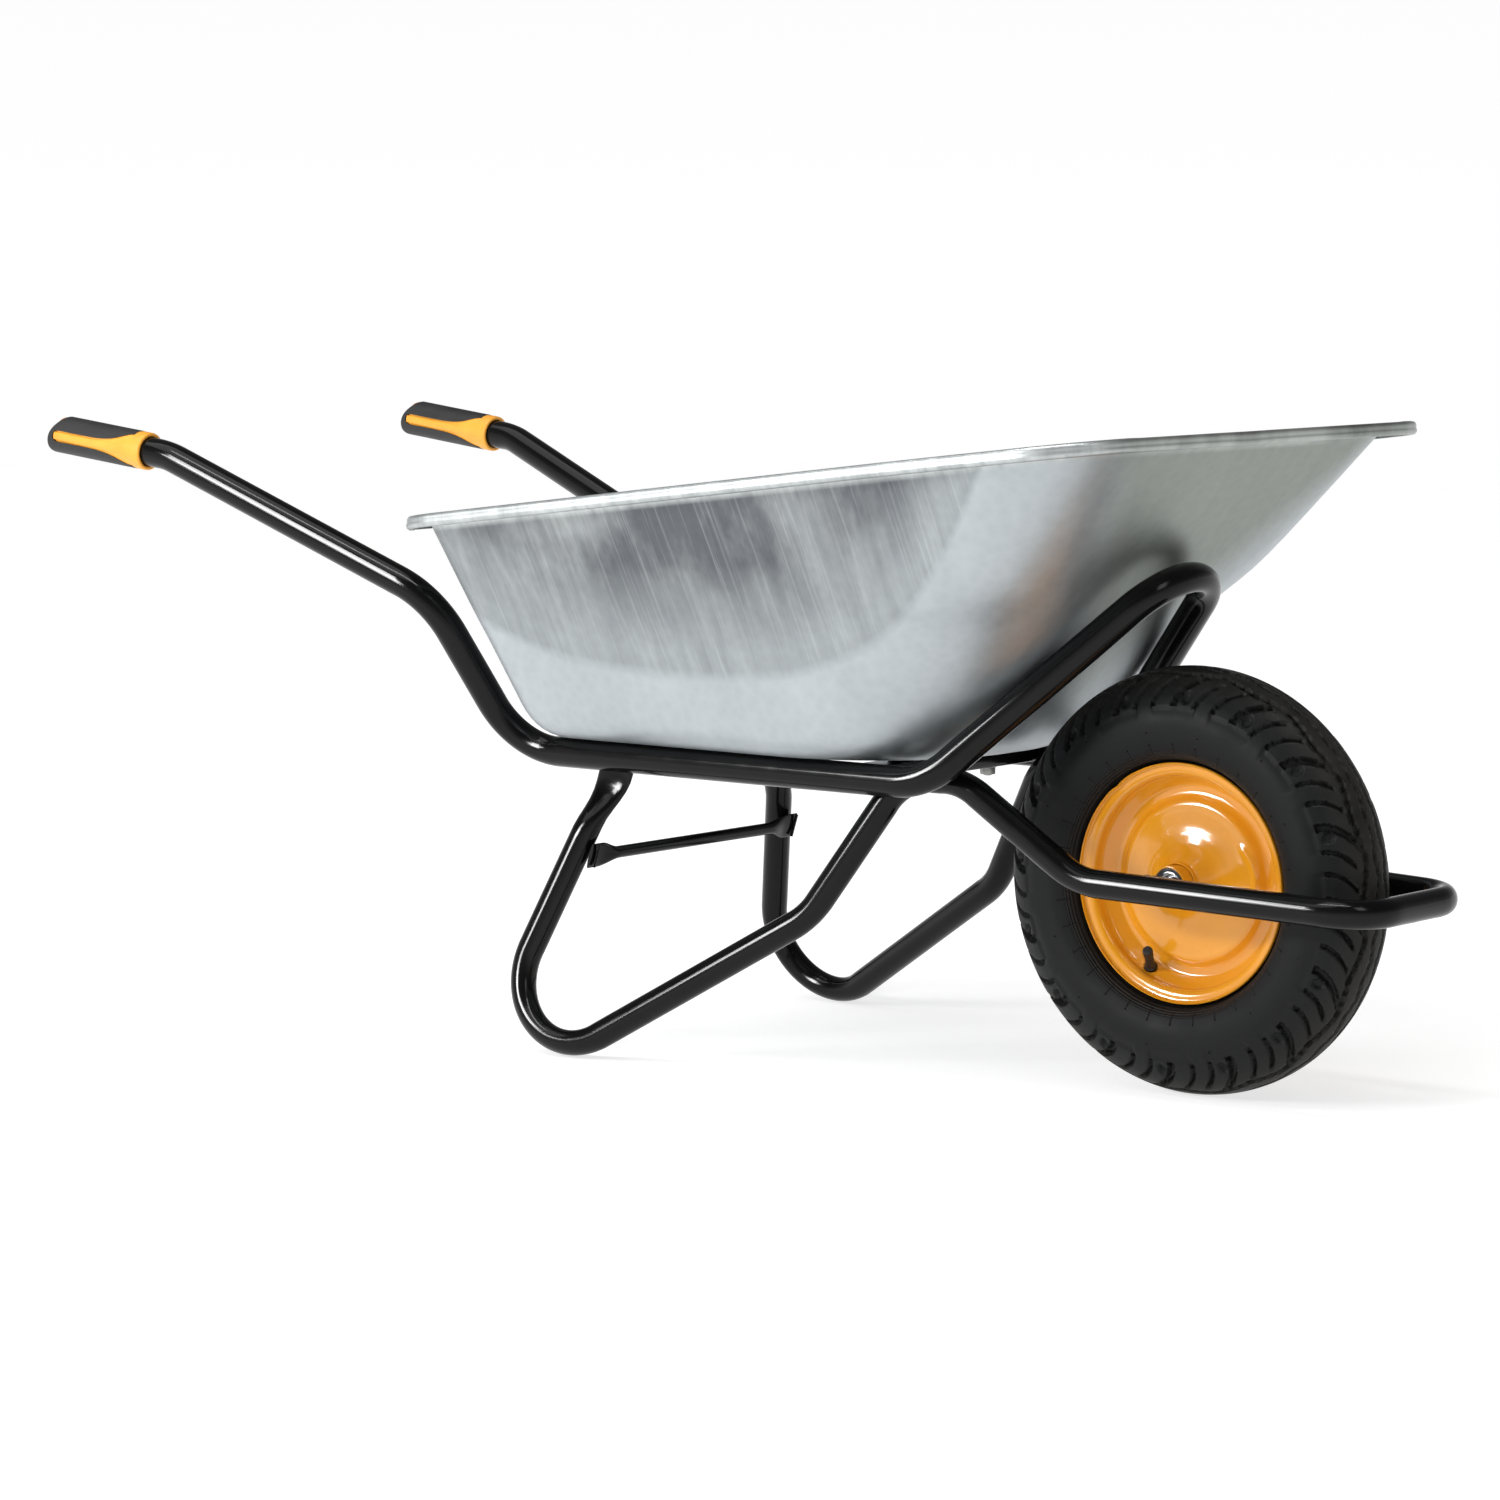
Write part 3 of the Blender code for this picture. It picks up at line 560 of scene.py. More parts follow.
def applied(obj):
    """Replace obj's mesh by what its modifiers make of it."""
    bpy.context.view_layer.update()
    graph = bpy.context.evaluated_depsgraph_get()
    mesh = bpy.data.meshes.new_from_object(obj.evaluated_get(graph))
    obj.modifiers.clear()
    obj.data = mesh


def subtract(obj, cutter):
    """Cut the cutter's shape out of obj, and remove the cutter."""
    mod = obj.modifiers.new("cut", "BOOLEAN")
    mod.object = cutter
    mod.operation = "DIFFERENCE"
    mod.solver = "EXACT"
    applied(obj)
    bpy.data.objects.remove(cutter, do_unlink=True)


# -------- frame tubes
LOOP_PEAK = at(0.07, 0.0, 0.56)
HANDLE_BEND = at(-1.079, -0.2629, 0.5712)
GRIP_DIR = Vector((-0.1273, -0.004, 0.0152)).normalized()
GRIP_FRONT = HANDLE_BEND + GRIP_DIR * 0.025
TUBE_IN_GRIP = 0.1095
LEG_TOP = at(-0.5905, -0.1235, 0.296)
LEG_FOOT = at(-0.7088, -0.25, -0.0716)
BUMPER_REAR = at(-0.064, -0.101, 0.204)
BUMPER_FRONT = at(0.2315, -0.0855, 0.195)
DRAIN_R = 0.0018
DRAIN_X = BUMPER_FRONT.x + 0.005
DRAIN_Z = BUMPER_FRONT.z - 0.0125
DRAIN_YS = (-0.008, 0.036)
ARC_STEP = 0.0035 if FINE else 0.007
TUBE_SIDES = 40 if FINE else 24


def both_sides(side, middle=()):
    return side + list(middle) + [(on_side(1, p), r) for p, r in reversed(side)]


def upper_tube():
    """Handles, rails and the loop in front of the tray."""
    side = [
        (GRIP_FRONT + GRIP_DIR * TUBE_IN_GRIP, 0.0),
        (HANDLE_BEND, 0.08),
        (at(-0.757, -0.2204, 0.4385), 0.085),
        (at(-0.709, -RAIL_Y, RAIL_Z), 0.07),
        (at(-0.206, -RAIL_Y, RAIL_Z), 0.07),
    ]
    path, bends = spaced(*bent_path(both_sides(side, [(LOOP_PEAK, 0.062)]), ARC_STEP), most=0.012)
    return tube("upper_tube", path, TUBE_R, TUBE_SIDES, bends, squash=0.11)


def flatten_leg_tops(grid):
    """The tops of the legs are pressed flat against the rails."""
    flat_from, flat_span, flat_half = 0.218, 0.048, 0.0035
    x, y, z = grid[..., 0], grid[..., 1], grid[..., 2]
    share = smooth_step((z - flat_from) / flat_span) * (x < AXLE_X - 0.45)
    below = (LEG_TOP.z - z) / (LEG_TOP.z - LEG_FOOT.z)
    leg_y = -LEG_TOP.y + (LEG_TOP.y - LEG_FOOT.y) * below
    leg_x = LEG_TOP.x + (LEG_FOOT.x - LEG_TOP.x) * below
    flat_y = RAIL_Y - TUBE_R - GAP - flat_half
    goal = flat_y + (np.abs(y) - leg_y) * 0.24
    wider = np.where(x > leg_x, 0.6, 0.45)
    out = grid.copy()
    out[..., 0] = np.where(share > 0, leg_x + (x - leg_x) * (1 + wider * share), x)
    out[..., 1] = np.sign(y) * (np.abs(y) * (1 - share) + goal * share)
    return out


def lower_tube():
    """Legs and bumper, with two drain holes under the front of the bumper."""
    side = [
        (LEG_TOP.lerp(LEG_FOOT, 0.014), 0.0),
        (LEG_FOOT, 0.0678),
        (at(-0.3391, -0.1514, 0.1526), 0.08),
        (at(-0.254, -0.1165, 0.289), 0.06),
        (at(-0.19, -0.111, 0.289), 0.07),
        (BUMPER_REAR, 0.075),
        (BUMPER_FRONT, 0.045),
    ]
    path, bends = spaced(*bent_path(both_sides(side), ARC_STEP), most=0.01)
    lower = tube("lower_tube", path, LEG_R, TUBE_SIDES, bends, squash=0.12, reshape=flatten_leg_tops)
    for y in DRAIN_YS:
        subtract(lower, spun("drill", rod(DRAIN_R, 0.004), (DRAIN_X, y, DRAIN_Z), (-0.37, 0, 0.93), 24))
    return lower


dress(upper_tube(), BLACK, "frame", "upper_frame_tube")
dress(lower_tube(), BLACK, "frame", "lower_frame_tube")

BRACE_Z = 0.1895
LEG_LEAN = 0.32094
BRACE_X = LEG_TOP.x - (LEG_TOP.z - BRACE_Z) * LEG_LEAN + 0.0205
BRACE_HALF = 0.161
BRACE_R = 0.006
BRACE_LEAN = 0.314


def flatten_brace_ends(grid):
    """The ends of the brace are pressed flat against the legs and lean with them."""
    share = smooth_step((np.abs(grid[..., 1]) - 0.119) / 0.028)
    rise = (grid[..., 2] - BRACE_Z) * (1 + 1.05 * share)
    out = grid.copy()
    out[..., 0] = BRACE_X + (grid[..., 0] - BRACE_X) * (1 - 0.66 * share) + BRACE_LEAN * rise * share
    out[..., 2] = BRACE_Z + rise
    return out


brace_line = [Vector((BRACE_X, y, BRACE_Z)) for y in np.linspace(-BRACE_HALF, BRACE_HALF, 90)]
dress(tube("brace_tube", brace_line, BRACE_R, 28, reshape=flatten_brace_ends), BLACK, "frame", "leg_brace")


def box_bar(name, x):
    """A rectangular tube across the frame, with rounded edges and a wall."""
    w, h = BAR_WIDTH / 2, BAR_H / 2
    outer = rounded([(-w, -h), (w, -h), (w, h), (-w, h)], 0.004, 6)
    inner = outer * np.array([1 - BAR_WALL / w, 1 - BAR_WALL / h])
    ys = np.linspace(-BAR_HALF, BAR_HALF, 25)
    rings = [np.stack([AXLE_X + x + line[:, 0], np.full(len(line), y), BAR_TOP - h + line[:, 1]], -1)
             for line, order in ((outer, ys), (inner, ys[::-1])) for y in order]
    return closed_skin(name, rings, 50)


dress(box_bar("front_bar", FRONT_BAR_X), BLACK, "frame", "front_cross_bar")
dress(box_bar("rear_bar", REAR_BAR_X), BLACK, "frame", "rear_cross_bar")


# -------- tray
# plans of the tray from its floor up: rear x, front x, half width, rear and front corner radius;
# the waist and the chest lie a share of the way up the wall
FLOOR_PLAN = (-0.676, -0.193, 0.186, 0.05, 0.172)
WAIST_PLAN = (-0.6978, -0.0855, 0.227, 0.046, 0.138)
CHEST_PLAN = (-0.7072, -0.037, 0.2454, 0.044, 0.104)
WALL_PLAN = (-0.728, 0.07, 0.285, 0.042, 0.105)
EDGE_PLAN = (-0.745, 0.083, 0.305, 0.058, 0.088)
WAIST_UP = 0.42
CHEST_UP = 0.6
FILLET = 0.034
FILLET_UP = 0.04
LIP = 0.006
# the folded hem: how far in from the edge and how far down
HEM = mm([(4.2, -0.2), (2.6, 0), (1.3, 0.6), (0.6, 2.0), (0.4, 3.8), (0.5, 5.6), (0.1, 6.6), (-0.2, 7.8),
          (0.2, 9.1), (1.3, 10.2), (3.0, 10.8), (4.7, 10.5)])
# a dimple round a bolt, from its lip to the bolt hole: radius and height above the floor
DIMPLE = mm([(15.7, 0), (15.4, 0), (14.9, -0.4), (14.3, -1.4), (13.4, -3.4), (12.4, -4.6), (11.2, -5.0),
             (4.4, -5.0)])
DIMPLE_SIDES = 36
ARC_POINTS = 24 if FINE else 10
SIDE_POINTS = (40, 24, 40, 14) if FINE else (14, 10, 14, 6)
BOLTS = [(end + tag, x, s * BOLT_Y) for end, x in (("front_", FRONT_BAR_X), ("rear_", REAR_BOLT_X))
         for tag, s in SIDES]


def outline(x_rear, x_front, half_y, round_rear, round_front):
    """A rectangle with rounded corners, as the same number of points whatever its size."""
    arcs = []
    for x, y, radius, start in ((x_rear, -half_y, round_rear, 180), (x_front, -half_y, round_front, 270),
                                (x_front, half_y, round_front, 0), (x_rear, half_y, round_rear, 90)):
        cx = x - math.copysign(radius, x - (x_rear + x_front) / 2)
        cy = y - math.copysign(radius, y)
        a = np.radians(start + 90 * np.arange(ARC_POINTS + 1) / ARC_POINTS)
        arcs.append(np.stack([cx + radius * np.cos(a), cy + radius * np.sin(a)], -1))
    points = []
    for i, count in enumerate(SIDE_POINTS):
        last, first = arcs[i][-1], arcs[(i + 1) % 4][0]
        points += [arcs[i], last + (first - last) * np.arange(1, count)[:, None] / count]
    return np.concatenate(points)


def outward(ring):
    step = np.roll(ring, -1, 0) - np.roll(ring, 1, 0)
    return unit(np.stack([step[:, 1], -step[:, 0]], -1))


def unit(vectors):
    return vectors / np.linalg.norm(vectors, axis=1, keepdims=True)


def rim_z(x):
    return RIM_REAR_Z + RIM_SLOPE * (x - RIM_REAR_X) - 0.022 * np.maximum(0.0, x + 0.2) ** 2


def with_z(plan, z):
    return np.column_stack([plan, np.broadcast_to(z, len(plan))])


def run_between(a, b, c, d, count):
    """Rings from b to c on the smooth surface through four rings, without b itself."""
    return [curve(a, b, c, d, t) for t in np.linspace(0, 1, count + 1)[1:]]


def hem_rings(brink, edge):
    """The edge is folded over and rolled under; it is uneven where the sheet is gathered at the corners."""
    around = np.arange(len(edge))
    x, y = edge[:, 0], edge[:, 1]
    gather = 0.00045 * np.sin(around * 2.1) * np.clip((x + 0.02) / 0.05, 0, 1)
    sag = 0.0012 * hump((y + 0.045) / 0.03) * (x > 0.05)
    crimp = 0.0012 * hump((x + 0.735) / 0.016) * hump((np.abs(y) - 0.285) / 0.02) * np.sin(around * 2.6)
    lean = with_z(outward(edge), 0)
    rings = []
    for k, (back, down) in enumerate(HEM):
        share = k / (len(HEM) - 1)
        inwards = back + 0.001 + (gather + crimp) * share
        below = down + (sag + np.abs(crimp)) * share
        rings.append(brink - lean * inwards[:, None] - np.outer(below, (0, 0, 1.0)))
    return rings


def tray_rings():
    """Rings of the tray's outer surface, from the flat of its floor to the end of the hem."""
    wall, edge = outline(*WALL_PLAN), outline(*EDGE_PLAN)
    foot = with_z(outline(*FLOOR_PLAN), TRAY_FLOOR_Z)
    head = with_z(wall, rim_z(wall[:, 0]) - TRAY_WALL)
    climb_z = head[:, 2] - foot[:, 2]
    waist = with_z(outline(*WAIST_PLAN), foot[:, 2] + climb_z * WAIST_UP)
    chest = with_z(outline(*CHEST_PLAN), foot[:, 2] + climb_z * CHEST_UP)
    rear, front, *sizes = FLOOR_PLAN
    flat = with_z(outline(rear + FILLET, front - FILLET, *(size - FILLET for size in sizes)), TRAY_FLOOR_Z)
    above = foot + unit(waist - foot) * FILLET_UP
    fillet = [corner_arc(flat, foot, above, t) for t in np.linspace(0, 1, 9)]
    climb = unit(head - chest)
    below_head = head - climb * LIP
    walls = [above + (waist - above) * t for t in np.linspace(0, 1, 5)[1:]]
    walls += run_between(above, waist, chest, below_head, 5)
    walls += run_between(waist, chest, below_head, head + climb * 0.02, 6)
    wall_out = outward(wall)
    flange = head + np.column_stack([wall_out, RIM_SLOPE * wall_out[:, 0]]) * LIP
    brink = with_z(edge, rim_z(edge[:, 0]) - TRAY_WALL)
    lip = [corner_arc(below_head, head, flange, t) for t in np.linspace(0, 1, 7)[1:]]
    lip += [brink * 0.5 + flange * 0.5] + hem_rings(brink, edge)
    rings = [ring + np.array([AXLE_X, 0, 0]) for ring in fillet + walls + lip]
    # a little unevenness in the long walls
    for k, ring in enumerate(rings[len(fillet):len(fillet) + len(walls)]):
        x, y, z = ring.T.copy()
        swell = math.sin(math.pi * (k + 1) / (len(walls) + 1))
        wave = np.sin(x * 9.0 + 0.8) * 0.5 + np.sin(x * 21.0 + z * 7.0) * 0.25
        ring[:, 1] -= np.sign(y) * np.abs(np.sin(np.clip(np.abs(y) * 8, 0, 1.5))) * wave * 0.0006 * swell
    return rings


def off_bolts(point, distance):
    return all(math.hypot(point[0] - AXLE_X - x, point[1] - y) > distance for _, x, y in BOLTS)


def tray_sheet():
    rings = tray_rings()
    columns = len(rings[0])
    points, faces = np.concatenate(rings), grid_faces(len(rings), columns)
    loops = [np.arange(columns)]
    a = circle(DIMPLE_SIDES)
    for _, x, y in BOLTS:
        first = len(points)
        dimple = [with_z(np.stack([AXLE_X + x + r * np.cos(a), y + r * np.sin(a)], -1), TRAY_FLOOR_Z + z)
                  for r, z in DIMPLE]
        points = np.concatenate([points] + dimple)
        faces += grid_faces(len(DIMPLE), DIMPLE_SIDES, start=first)
        loops.append(np.arange(first, first + DIMPLE_SIDES))
    borders, first = [], 0
    for loop in loops:
        borders += [(first + k, first + (k + 1) % len(loop)) for k in range(len(loop))]
        first += len(loop)
    # points spread over the flat floor keep its triangles short
    middle = rings[0][::4].mean(0)
    inside = [middle + (rings[0][::4] - middle) * share for share in np.linspace(0.95, 0.05, 12)]
    inside = np.array([p for p in np.concatenate(inside) if off_bolts(p, 0.02)])
    loops.append(np.arange(len(points), len(points) + len(inside)))
    points = np.concatenate([points, inside])
    corners = np.concatenate(loops)
    flat = delaunay_2d_cdt([Vector(points[i][:2]) for i in corners], borders, [], 1, 1e-7)
    trios = [[int(corners[flat[3][k][0]]) for k in face] for face in flat[2]]
    faces += [trio for trio in trios if off_bolts(points[trio].mean(0), 0.0153)]
    tray = from_arrays("tray_sheet", points, faces)
    thick = tray.modifiers.new("sheet", "SOLIDIFY")
    thick.thickness = TRAY_WALL
    # the sheet's thickness goes upwards and inwards, whichever way its faces look
    on_floor = min(tray.data.polygons,
                   key=lambda face: (abs(face.center.z - TRAY_FLOOR_Z), abs(face.center.y)))
    thick.offset = -1.0 if on_floor.normal.z < 0 else 1.0
    applied(tray)
    tray.data.set_sharp_from_angle(angle=math.radians(55))
    return tray


dress(tray_sheet(), ZINC_SHEET, "frame", "tray")


# -------- bolts, washers and nuts
def hex_nut(name, centre, axis, across, height, bore, node):
    """A hexagonal nut with chamfered corners, as rings of points from bore to bore."""
    a = circle(96)
    flat_r = across / 2 / np.cos((a + math.pi / 6) % (math.pi / 3) - math.pi / 6)
    face_r = np.minimum(flat_r, across / 2 * 1.01)
    near_r = np.minimum(flat_r, across / 2 * 1.1)
    bore_r, mouth_r = np.full(len(a), bore), np.full(len(a), bore + 0.0006)
    full = np.full(len(a), height / 2)
    slope = (flat_r - across / 2) * 0.45
    half = [(flat_r, full - slope), (near_r, full - slope * 0.4), (face_r, full), (mouth_r, full),
            (bore_r, full - 0.0006)]
    rows = [(r, -h) for r, h in reversed(half)] + half
    local = np.array([np.stack([r * np.cos(a), r * np.sin(a), h], -1) for r, h in rows])
    return dress(closed_skin(name, stood(local, centre, axis), 28), FASTENER, "frame", node)


HEAD_BASE = DIMPLE_Z + TRAY_WALL + GAP
WASHER_H = 0.0016
BOLT_HOLE_R = 0.0043
NUT_H = 0.0064
BOLT_OUTLINE = rounded(mm([(0, -28.5), (3.3, -28.5), (4, -27.8), (4, 0), (9.2, 0), (8.8, 1.6), (6.8, 3.2),
                           (3, 4.1), (0, 4.2)]), 0.0008, 4)
for tag, x, y in BOLTS:
    bolt = spun("bolt_" + tag, BOLT_OUTLINE, at(x, y, HEAD_BASE), (0, 0, 1), 48)
    dress(bolt, FASTENER, "frame", "tray_bolt_" + tag)
    washer = spun("washer_" + tag, ring_profile(BOLT_HOLE_R, 0.0085, WASHER_H),
                  at(x, y, BAR_BASE - GAP - WASHER_H), (0, 0, 1), 48)
    dress(washer, FASTENER, "frame", "tray_washer_" + tag)
    hex_nut("nut_" + tag, at(x, y, BAR_BASE - 2 * GAP - WASHER_H - NUT_H / 2), (0, 0, 1), 0.013, NUT_H,
            BOLT_HOLE_R, "tray_nut_" + tag)


# -------- tyre
PITCHES = 16
PITCH = 2 * math.pi / PITCHES
TURN_STEPS = 720 if FINE else 320
# half sections of the tyre, from the bead outwards: radius and y
SIDEWALL = mm([(101.9, -20.7), (103, -23), (105, -23.8), (109, -23.9), (112.2, -24.1), (113.6, -25.3),
               (114.6, -27.6), (115.6, -31), (116.8, -34.2), (118.6, -37), (123, -40.9), (128, -43.2),
               (134, -45.4), (140, -46.5), (147, -46.8), (153, -46.3), (160, -44.9), (166, -42.6)])
CROWN = mm([(166.0, -42.6), (172.5, -39.4), (179.0, -35.4), (185.4, -31.0), (191.2, -25.6), (195.4, -19.2),
            (198.3, -12.4), (199.6, -6.2), (200.0, 0.0)])
LINING = mm([(101.9, -16.2), (114.0, -21.0), (124.0, -37.2), (143.0, -42.2), (164.0, -38.2), (181.0, -24.8),
             (189.0, 0.0)])


def whole(half):
    """Mirror half a section, whose last point is on the centre line."""
    return half + [(r, -y) for r, y in reversed(half[:-1])]


side_rows = resample(SIDEWALL, 28 if FINE else 20)
tread_rows = resample(whole(CROWN), 71 if FINE else 41)
lining_rows = resample(whole(LINING), 12)
tread_half = np.linalg.norm(np.diff(tread_rows, axis=0), axis=1).sum() / 2


def groove(distance, half_width, soft):
    """1 in the groove, 0 outside it, with sloping walls."""
    return 1 - smooth_step((np.abs(distance) - half_width) / soft)


def zigzag(turns):
    """A line that goes from 1 to -1 and back in one turn."""
    return 2 * np.abs(2 * (turns % 1) - 1) - 1


def tread_depth(angle, w):
    """How far the tread is cut in, at an angle round the tyre and a distance w from its centre line."""
    side = np.abs(w)
    phase = (angle + np.where(w > 0, PITCH / 2, 0.0)) / PITCH
    centre = 0.0036 * groove(side - 0.0062 - 0.0016 * zigzag(phase * 2), 0.0011, 0.001)
    depth = np.maximum(centre, 0.005 * groove(side - 0.0205 - 0.0028 * zigzag(phase), 0.0015, 0.0012))
    reach = np.clip((side - 0.019) / (tread_half - 0.019), 0, 1)
    curl = 0.42 * (1 - reach) ** 2
    # curved cuts out to the shoulder: one wide and two narrow ones in each pitch
    for offset, begin, deep, width in ((0.00, 0.02, 0.006, 0.0032), (0.36, 0.026, 0.0042, 0.0016),
                                       (0.66, 0.026, 0.0042, 0.0016)):
        here = (phase - offset + curl + 0.5) % 1 - 0.5
        live = smooth_step((side - begin) / 0.002) * (1 - smooth_step((side - tread_half + 0.0015) / 0.002))
        depth = np.maximum(depth, deep * groove(here * PITCH * (AXLE_Z - 0.01), width, 0.0012) * live)
    here = ((phase - 0.83 + 0.5) % 1 - 0.5) * PITCH * 0.178
    recess = np.sqrt((here / 0.005) ** 2 + ((side - tread_half + 0.0095) / 0.0062) ** 2)
    return np.maximum(depth, 0.0036 * (1 - smooth_step((recess - 0.75) / 0.35)))


def tyre_mesh():
    angles = circle(TURN_STEPS)
    w = np.r_[0, np.cumsum(np.linalg.norm(np.diff(tread_rows, axis=0), axis=1))]
    tangent = np.gradient(tread_rows, axis=0)
    normal = unit(np.stack([tangent[:, 1], -tangent[:, 0]], -1))
    normal *= np.sign(normal[len(normal) // 2, 0])
    depth = tread_depth(*np.meshgrid(angles, w - w[-1] / 2))

    def all_round(rows):
        return np.repeat(rows[:, :, None], TURN_STEPS, 2).transpose(1, 0, 2)

    tread_r, tread_y = all_round(tread_rows) - all_round(normal) * depth
    near_r, near_y = all_round(side_rows[:-1])
    # the shoulder lugs run a little way down the sidewall
    lug = 0.002 * groove(((angles * PITCHES / (2 * math.pi) - 0.5) % 1 - 0.5) * 0.066, 0.022, 0.004)
    near_y = near_y + smooth_step((near_r - 0.152) / 0.014) * lug * 0.72
    lining_r, lining_y = all_round(lining_rows[::-1])
    r = np.concatenate([near_r, tread_r, near_r[::-1], lining_r])
    y = np.concatenate([near_y, tread_y, -near_y[::-1], lining_y])
    rings = np.stack([AXLE_X + r * np.cos(angles), y, AXLE_Z + r * np.sin(angles)], -1)
    return closed_skin("tyre_casing", rings, 60)


def tyre_vents():
    """A ring of pins at the ends of the ribs and some moulding whiskers, on both sidewalls."""
    rng = np.random.default_rng(SEED)
    whiskers = 14
    points, faces = [], []
    for s in (-1, 1):
        pins = [(2 * math.pi * k / RIB_LINES, RIB_RING_R, 0.001, 0.0007) for k in range(RIB_LINES)]
        pins += [(2 * math.pi * (k + rng.uniform(-0.2, 0.2)) / whiskers, 0.153 + rng.uniform(-0.014, 0.006),
                  0.0007, rng.uniform(0.0008, 0.002)) for k in range(whiskers)]
        for angle, radius, width, height in pins:
            base_y = float(np.interp(radius, side_rows[:, 0], side_rows[:, 1]))
            first = len(points)
            for size, out in ((width, -0.0004), (width * 0.7, height * 0.6), (width * 0.55, height)):
                for b in circle(8):
                    r = radius + size * math.cos(b)
                    a = angle + size * math.sin(b) / radius
                    points.append((AXLE_X + r * math.cos(a), s * (base_y - out), AXLE_Z + r * math.sin(a)))
            faces += grid_faces(3, 8, start=first)
            faces += [tuple(range(first, first + 8)), tuple(range(first + 16, first + 24))]
    return from_arrays("tyre_vents", points, faces, 50)


dress(tyre_mesh(), TYRE, "wheel", "tyre")
dress(tyre_vents(), TYRE, "wheel")

# hidden pieces keep their CAD shape
for node, finish in (("inner_tube", VALVE), ("inner_spacer", RING_STEEL), ("axle", RING_STEEL)):
    frame["nodes"][node].data.materials[0] = finish[0]

# -------- rim and hub
RIM_WALL = 0.0016
RIM_LINE = mm([(111.4, 30.8), (112.0, 27.8), (109.4, 25.8), (104.4, 25.4), (100.6, 21.8), (100.6, 13.6),
               (92.6, 4.6), (89.6, 1.4), (80.6, 1.4), (73.0, 9.2), (66.0, 8.8), (48.0, 10.2), (32.0, 16.6),
               (22.4, 26.4), (19.3, 29.2), (19.3, 34.0)])
VALVE_TURN = math.radians(28)
VALVE_AT = Vector((-math.sin(VALVE_TURN), 0, -math.cos(VALVE_TURN)))
VALVE_BASE = at(0, 0, AXLE_Z) + VALVE_AT * 0.0964 + Vector((0, -0.0085, 0))
VALVE_DIR = (VALVE_AT * -0.72 + Vector((0, -0.695, 0))).normalized()
VALVE_HOLE_R = 0.0063


def sheet_profile(line, thickness):
    """A closed outline round an open line, with rounded ends."""
    tangent = unit(np.gradient(line, axis=0))
    normal = np.stack([-tangent[:, 1], tangent[:, 0]], -1) * thickness / 2
    cap_end = line[-1] + tangent[-1] * thickness * 0.35
    cap_start = line[0] - tangent[0] * thickness * 0.35
    return np.concatenate([line + normal, [cap_end], (line - normal)[::-1], [cap_start]])


def press_rib(local):
    """The pressed hook-shaped rib beside the hub and one small dent in the rolled edge."""
    x, y = local[..., 0], local[..., 1]
    r = np.hypot(x, y)
    a = np.arctan2(y, x)
    rib_r = 0.06 + 0.0105 * np.cos((a - 0.1) * 2.2)
    rib_end = 1 - smooth_step((np.abs(a - 0.1) - 0.42) / 0.16)
    local[..., 2] += 0.0022 * hump((r - rib_r) / 0.0034) * rib_end
    dent = hump((a - 2.25) / 0.05) * smooth_step((r - 0.1) / 0.008)
    local[..., :2] *= (1 - dent * 0.012)[..., None]
    return local


rim_line = resample(rounded(RIM_LINE, 0.0085, 7, closed=False, most=0.46), 130 if FINE else 70)
for tag, s, warp in (("right", -1, press_rib), ("left", 1, None)):
    rim = spun("rim_" + tag, sheet_profile(rim_line, RIM_WALL), at(0, 0, AXLE_Z), (0, s, 0),
               160 if FINE else 96, 60, warp)
    if tag == "right":
        subtract(rim, spun("drill", rod(VALVE_HOLE_R, 0.006), VALVE_BASE, VALVE_DIR, 32))
    dress(rim, ORANGE, "wheel", "rim_half_" + tag)

HUB_OUTLINE = rounded(mm([(16.3, -48), (18, -48), (18, 48), (16.3, 48), (16.3, 37.6), (14.6, 37.6),
                          (14.6, -37.6), (16.3, -37.6)]), 0.0005, 3)
dress(spun("hub", HUB_OUTLINE, at(0, 0, AXLE_Z), (0, 1, 0), 96), ORANGE, "wheel", "hub_tube")

# -------- valve
STEM_OUTLINE = rounded(mm([(0, -5.2), (3.2, -5.2), (5.2, -2), (5.2, 1.8), (6.1, 2.8), (6.1, 3.8), (5, 5),
                           (4.3, 12), (4.2, 20.5), (2.6, 20.5), (2.6, 29), (0, 29)]), 0.0007, 3)
CAP_OUTLINE = rounded(mm([(2.95, 20.9), (4.6, 20.9), (4.8, 22.0), (4.8, 31.0), (3.8, 32.2), (0, 32.4),
                          (0, 29.4), (2.95, 29.4)]), 0.0005, 3)


def knurl(local):
    a = np.arctan2(local[..., 1], local[..., 0])
    r = np.hypot(local[..., 0], local[..., 1])
    flute = 1 - 0.05 * (0.5 + 0.5 * np.cos(a * 14)) * smooth_step((r - 0.0042) / 0.0005)
    local[..., :2] *= flute[..., None]
    return local


dress(spun("valve_body", STEM_OUTLINE, VALVE_BASE, VALVE_DIR, 48), VALVE, "wheel", "valve_stem")
dress(spun("valve_top", CAP_OUTLINE, VALVE_BASE, VALVE_DIR, 112, 40, knurl), VALVE, "wheel", "valve_cap")

# -------- bearings and axle pieces
BORE_R = 0.0059 + GAP
SHIELD_OUTLINE = rounded(mm([(8.8, 0.1), (10.2, 0.1), (10.8, 0.3), (12.0, 0.3), (13.1, 0), (13.1, 0.5),
                             (11.8, 0.9), (10.6, 0.9), (10.0, 0.7), (8.8, 0.7)]), 0.0002, 3)
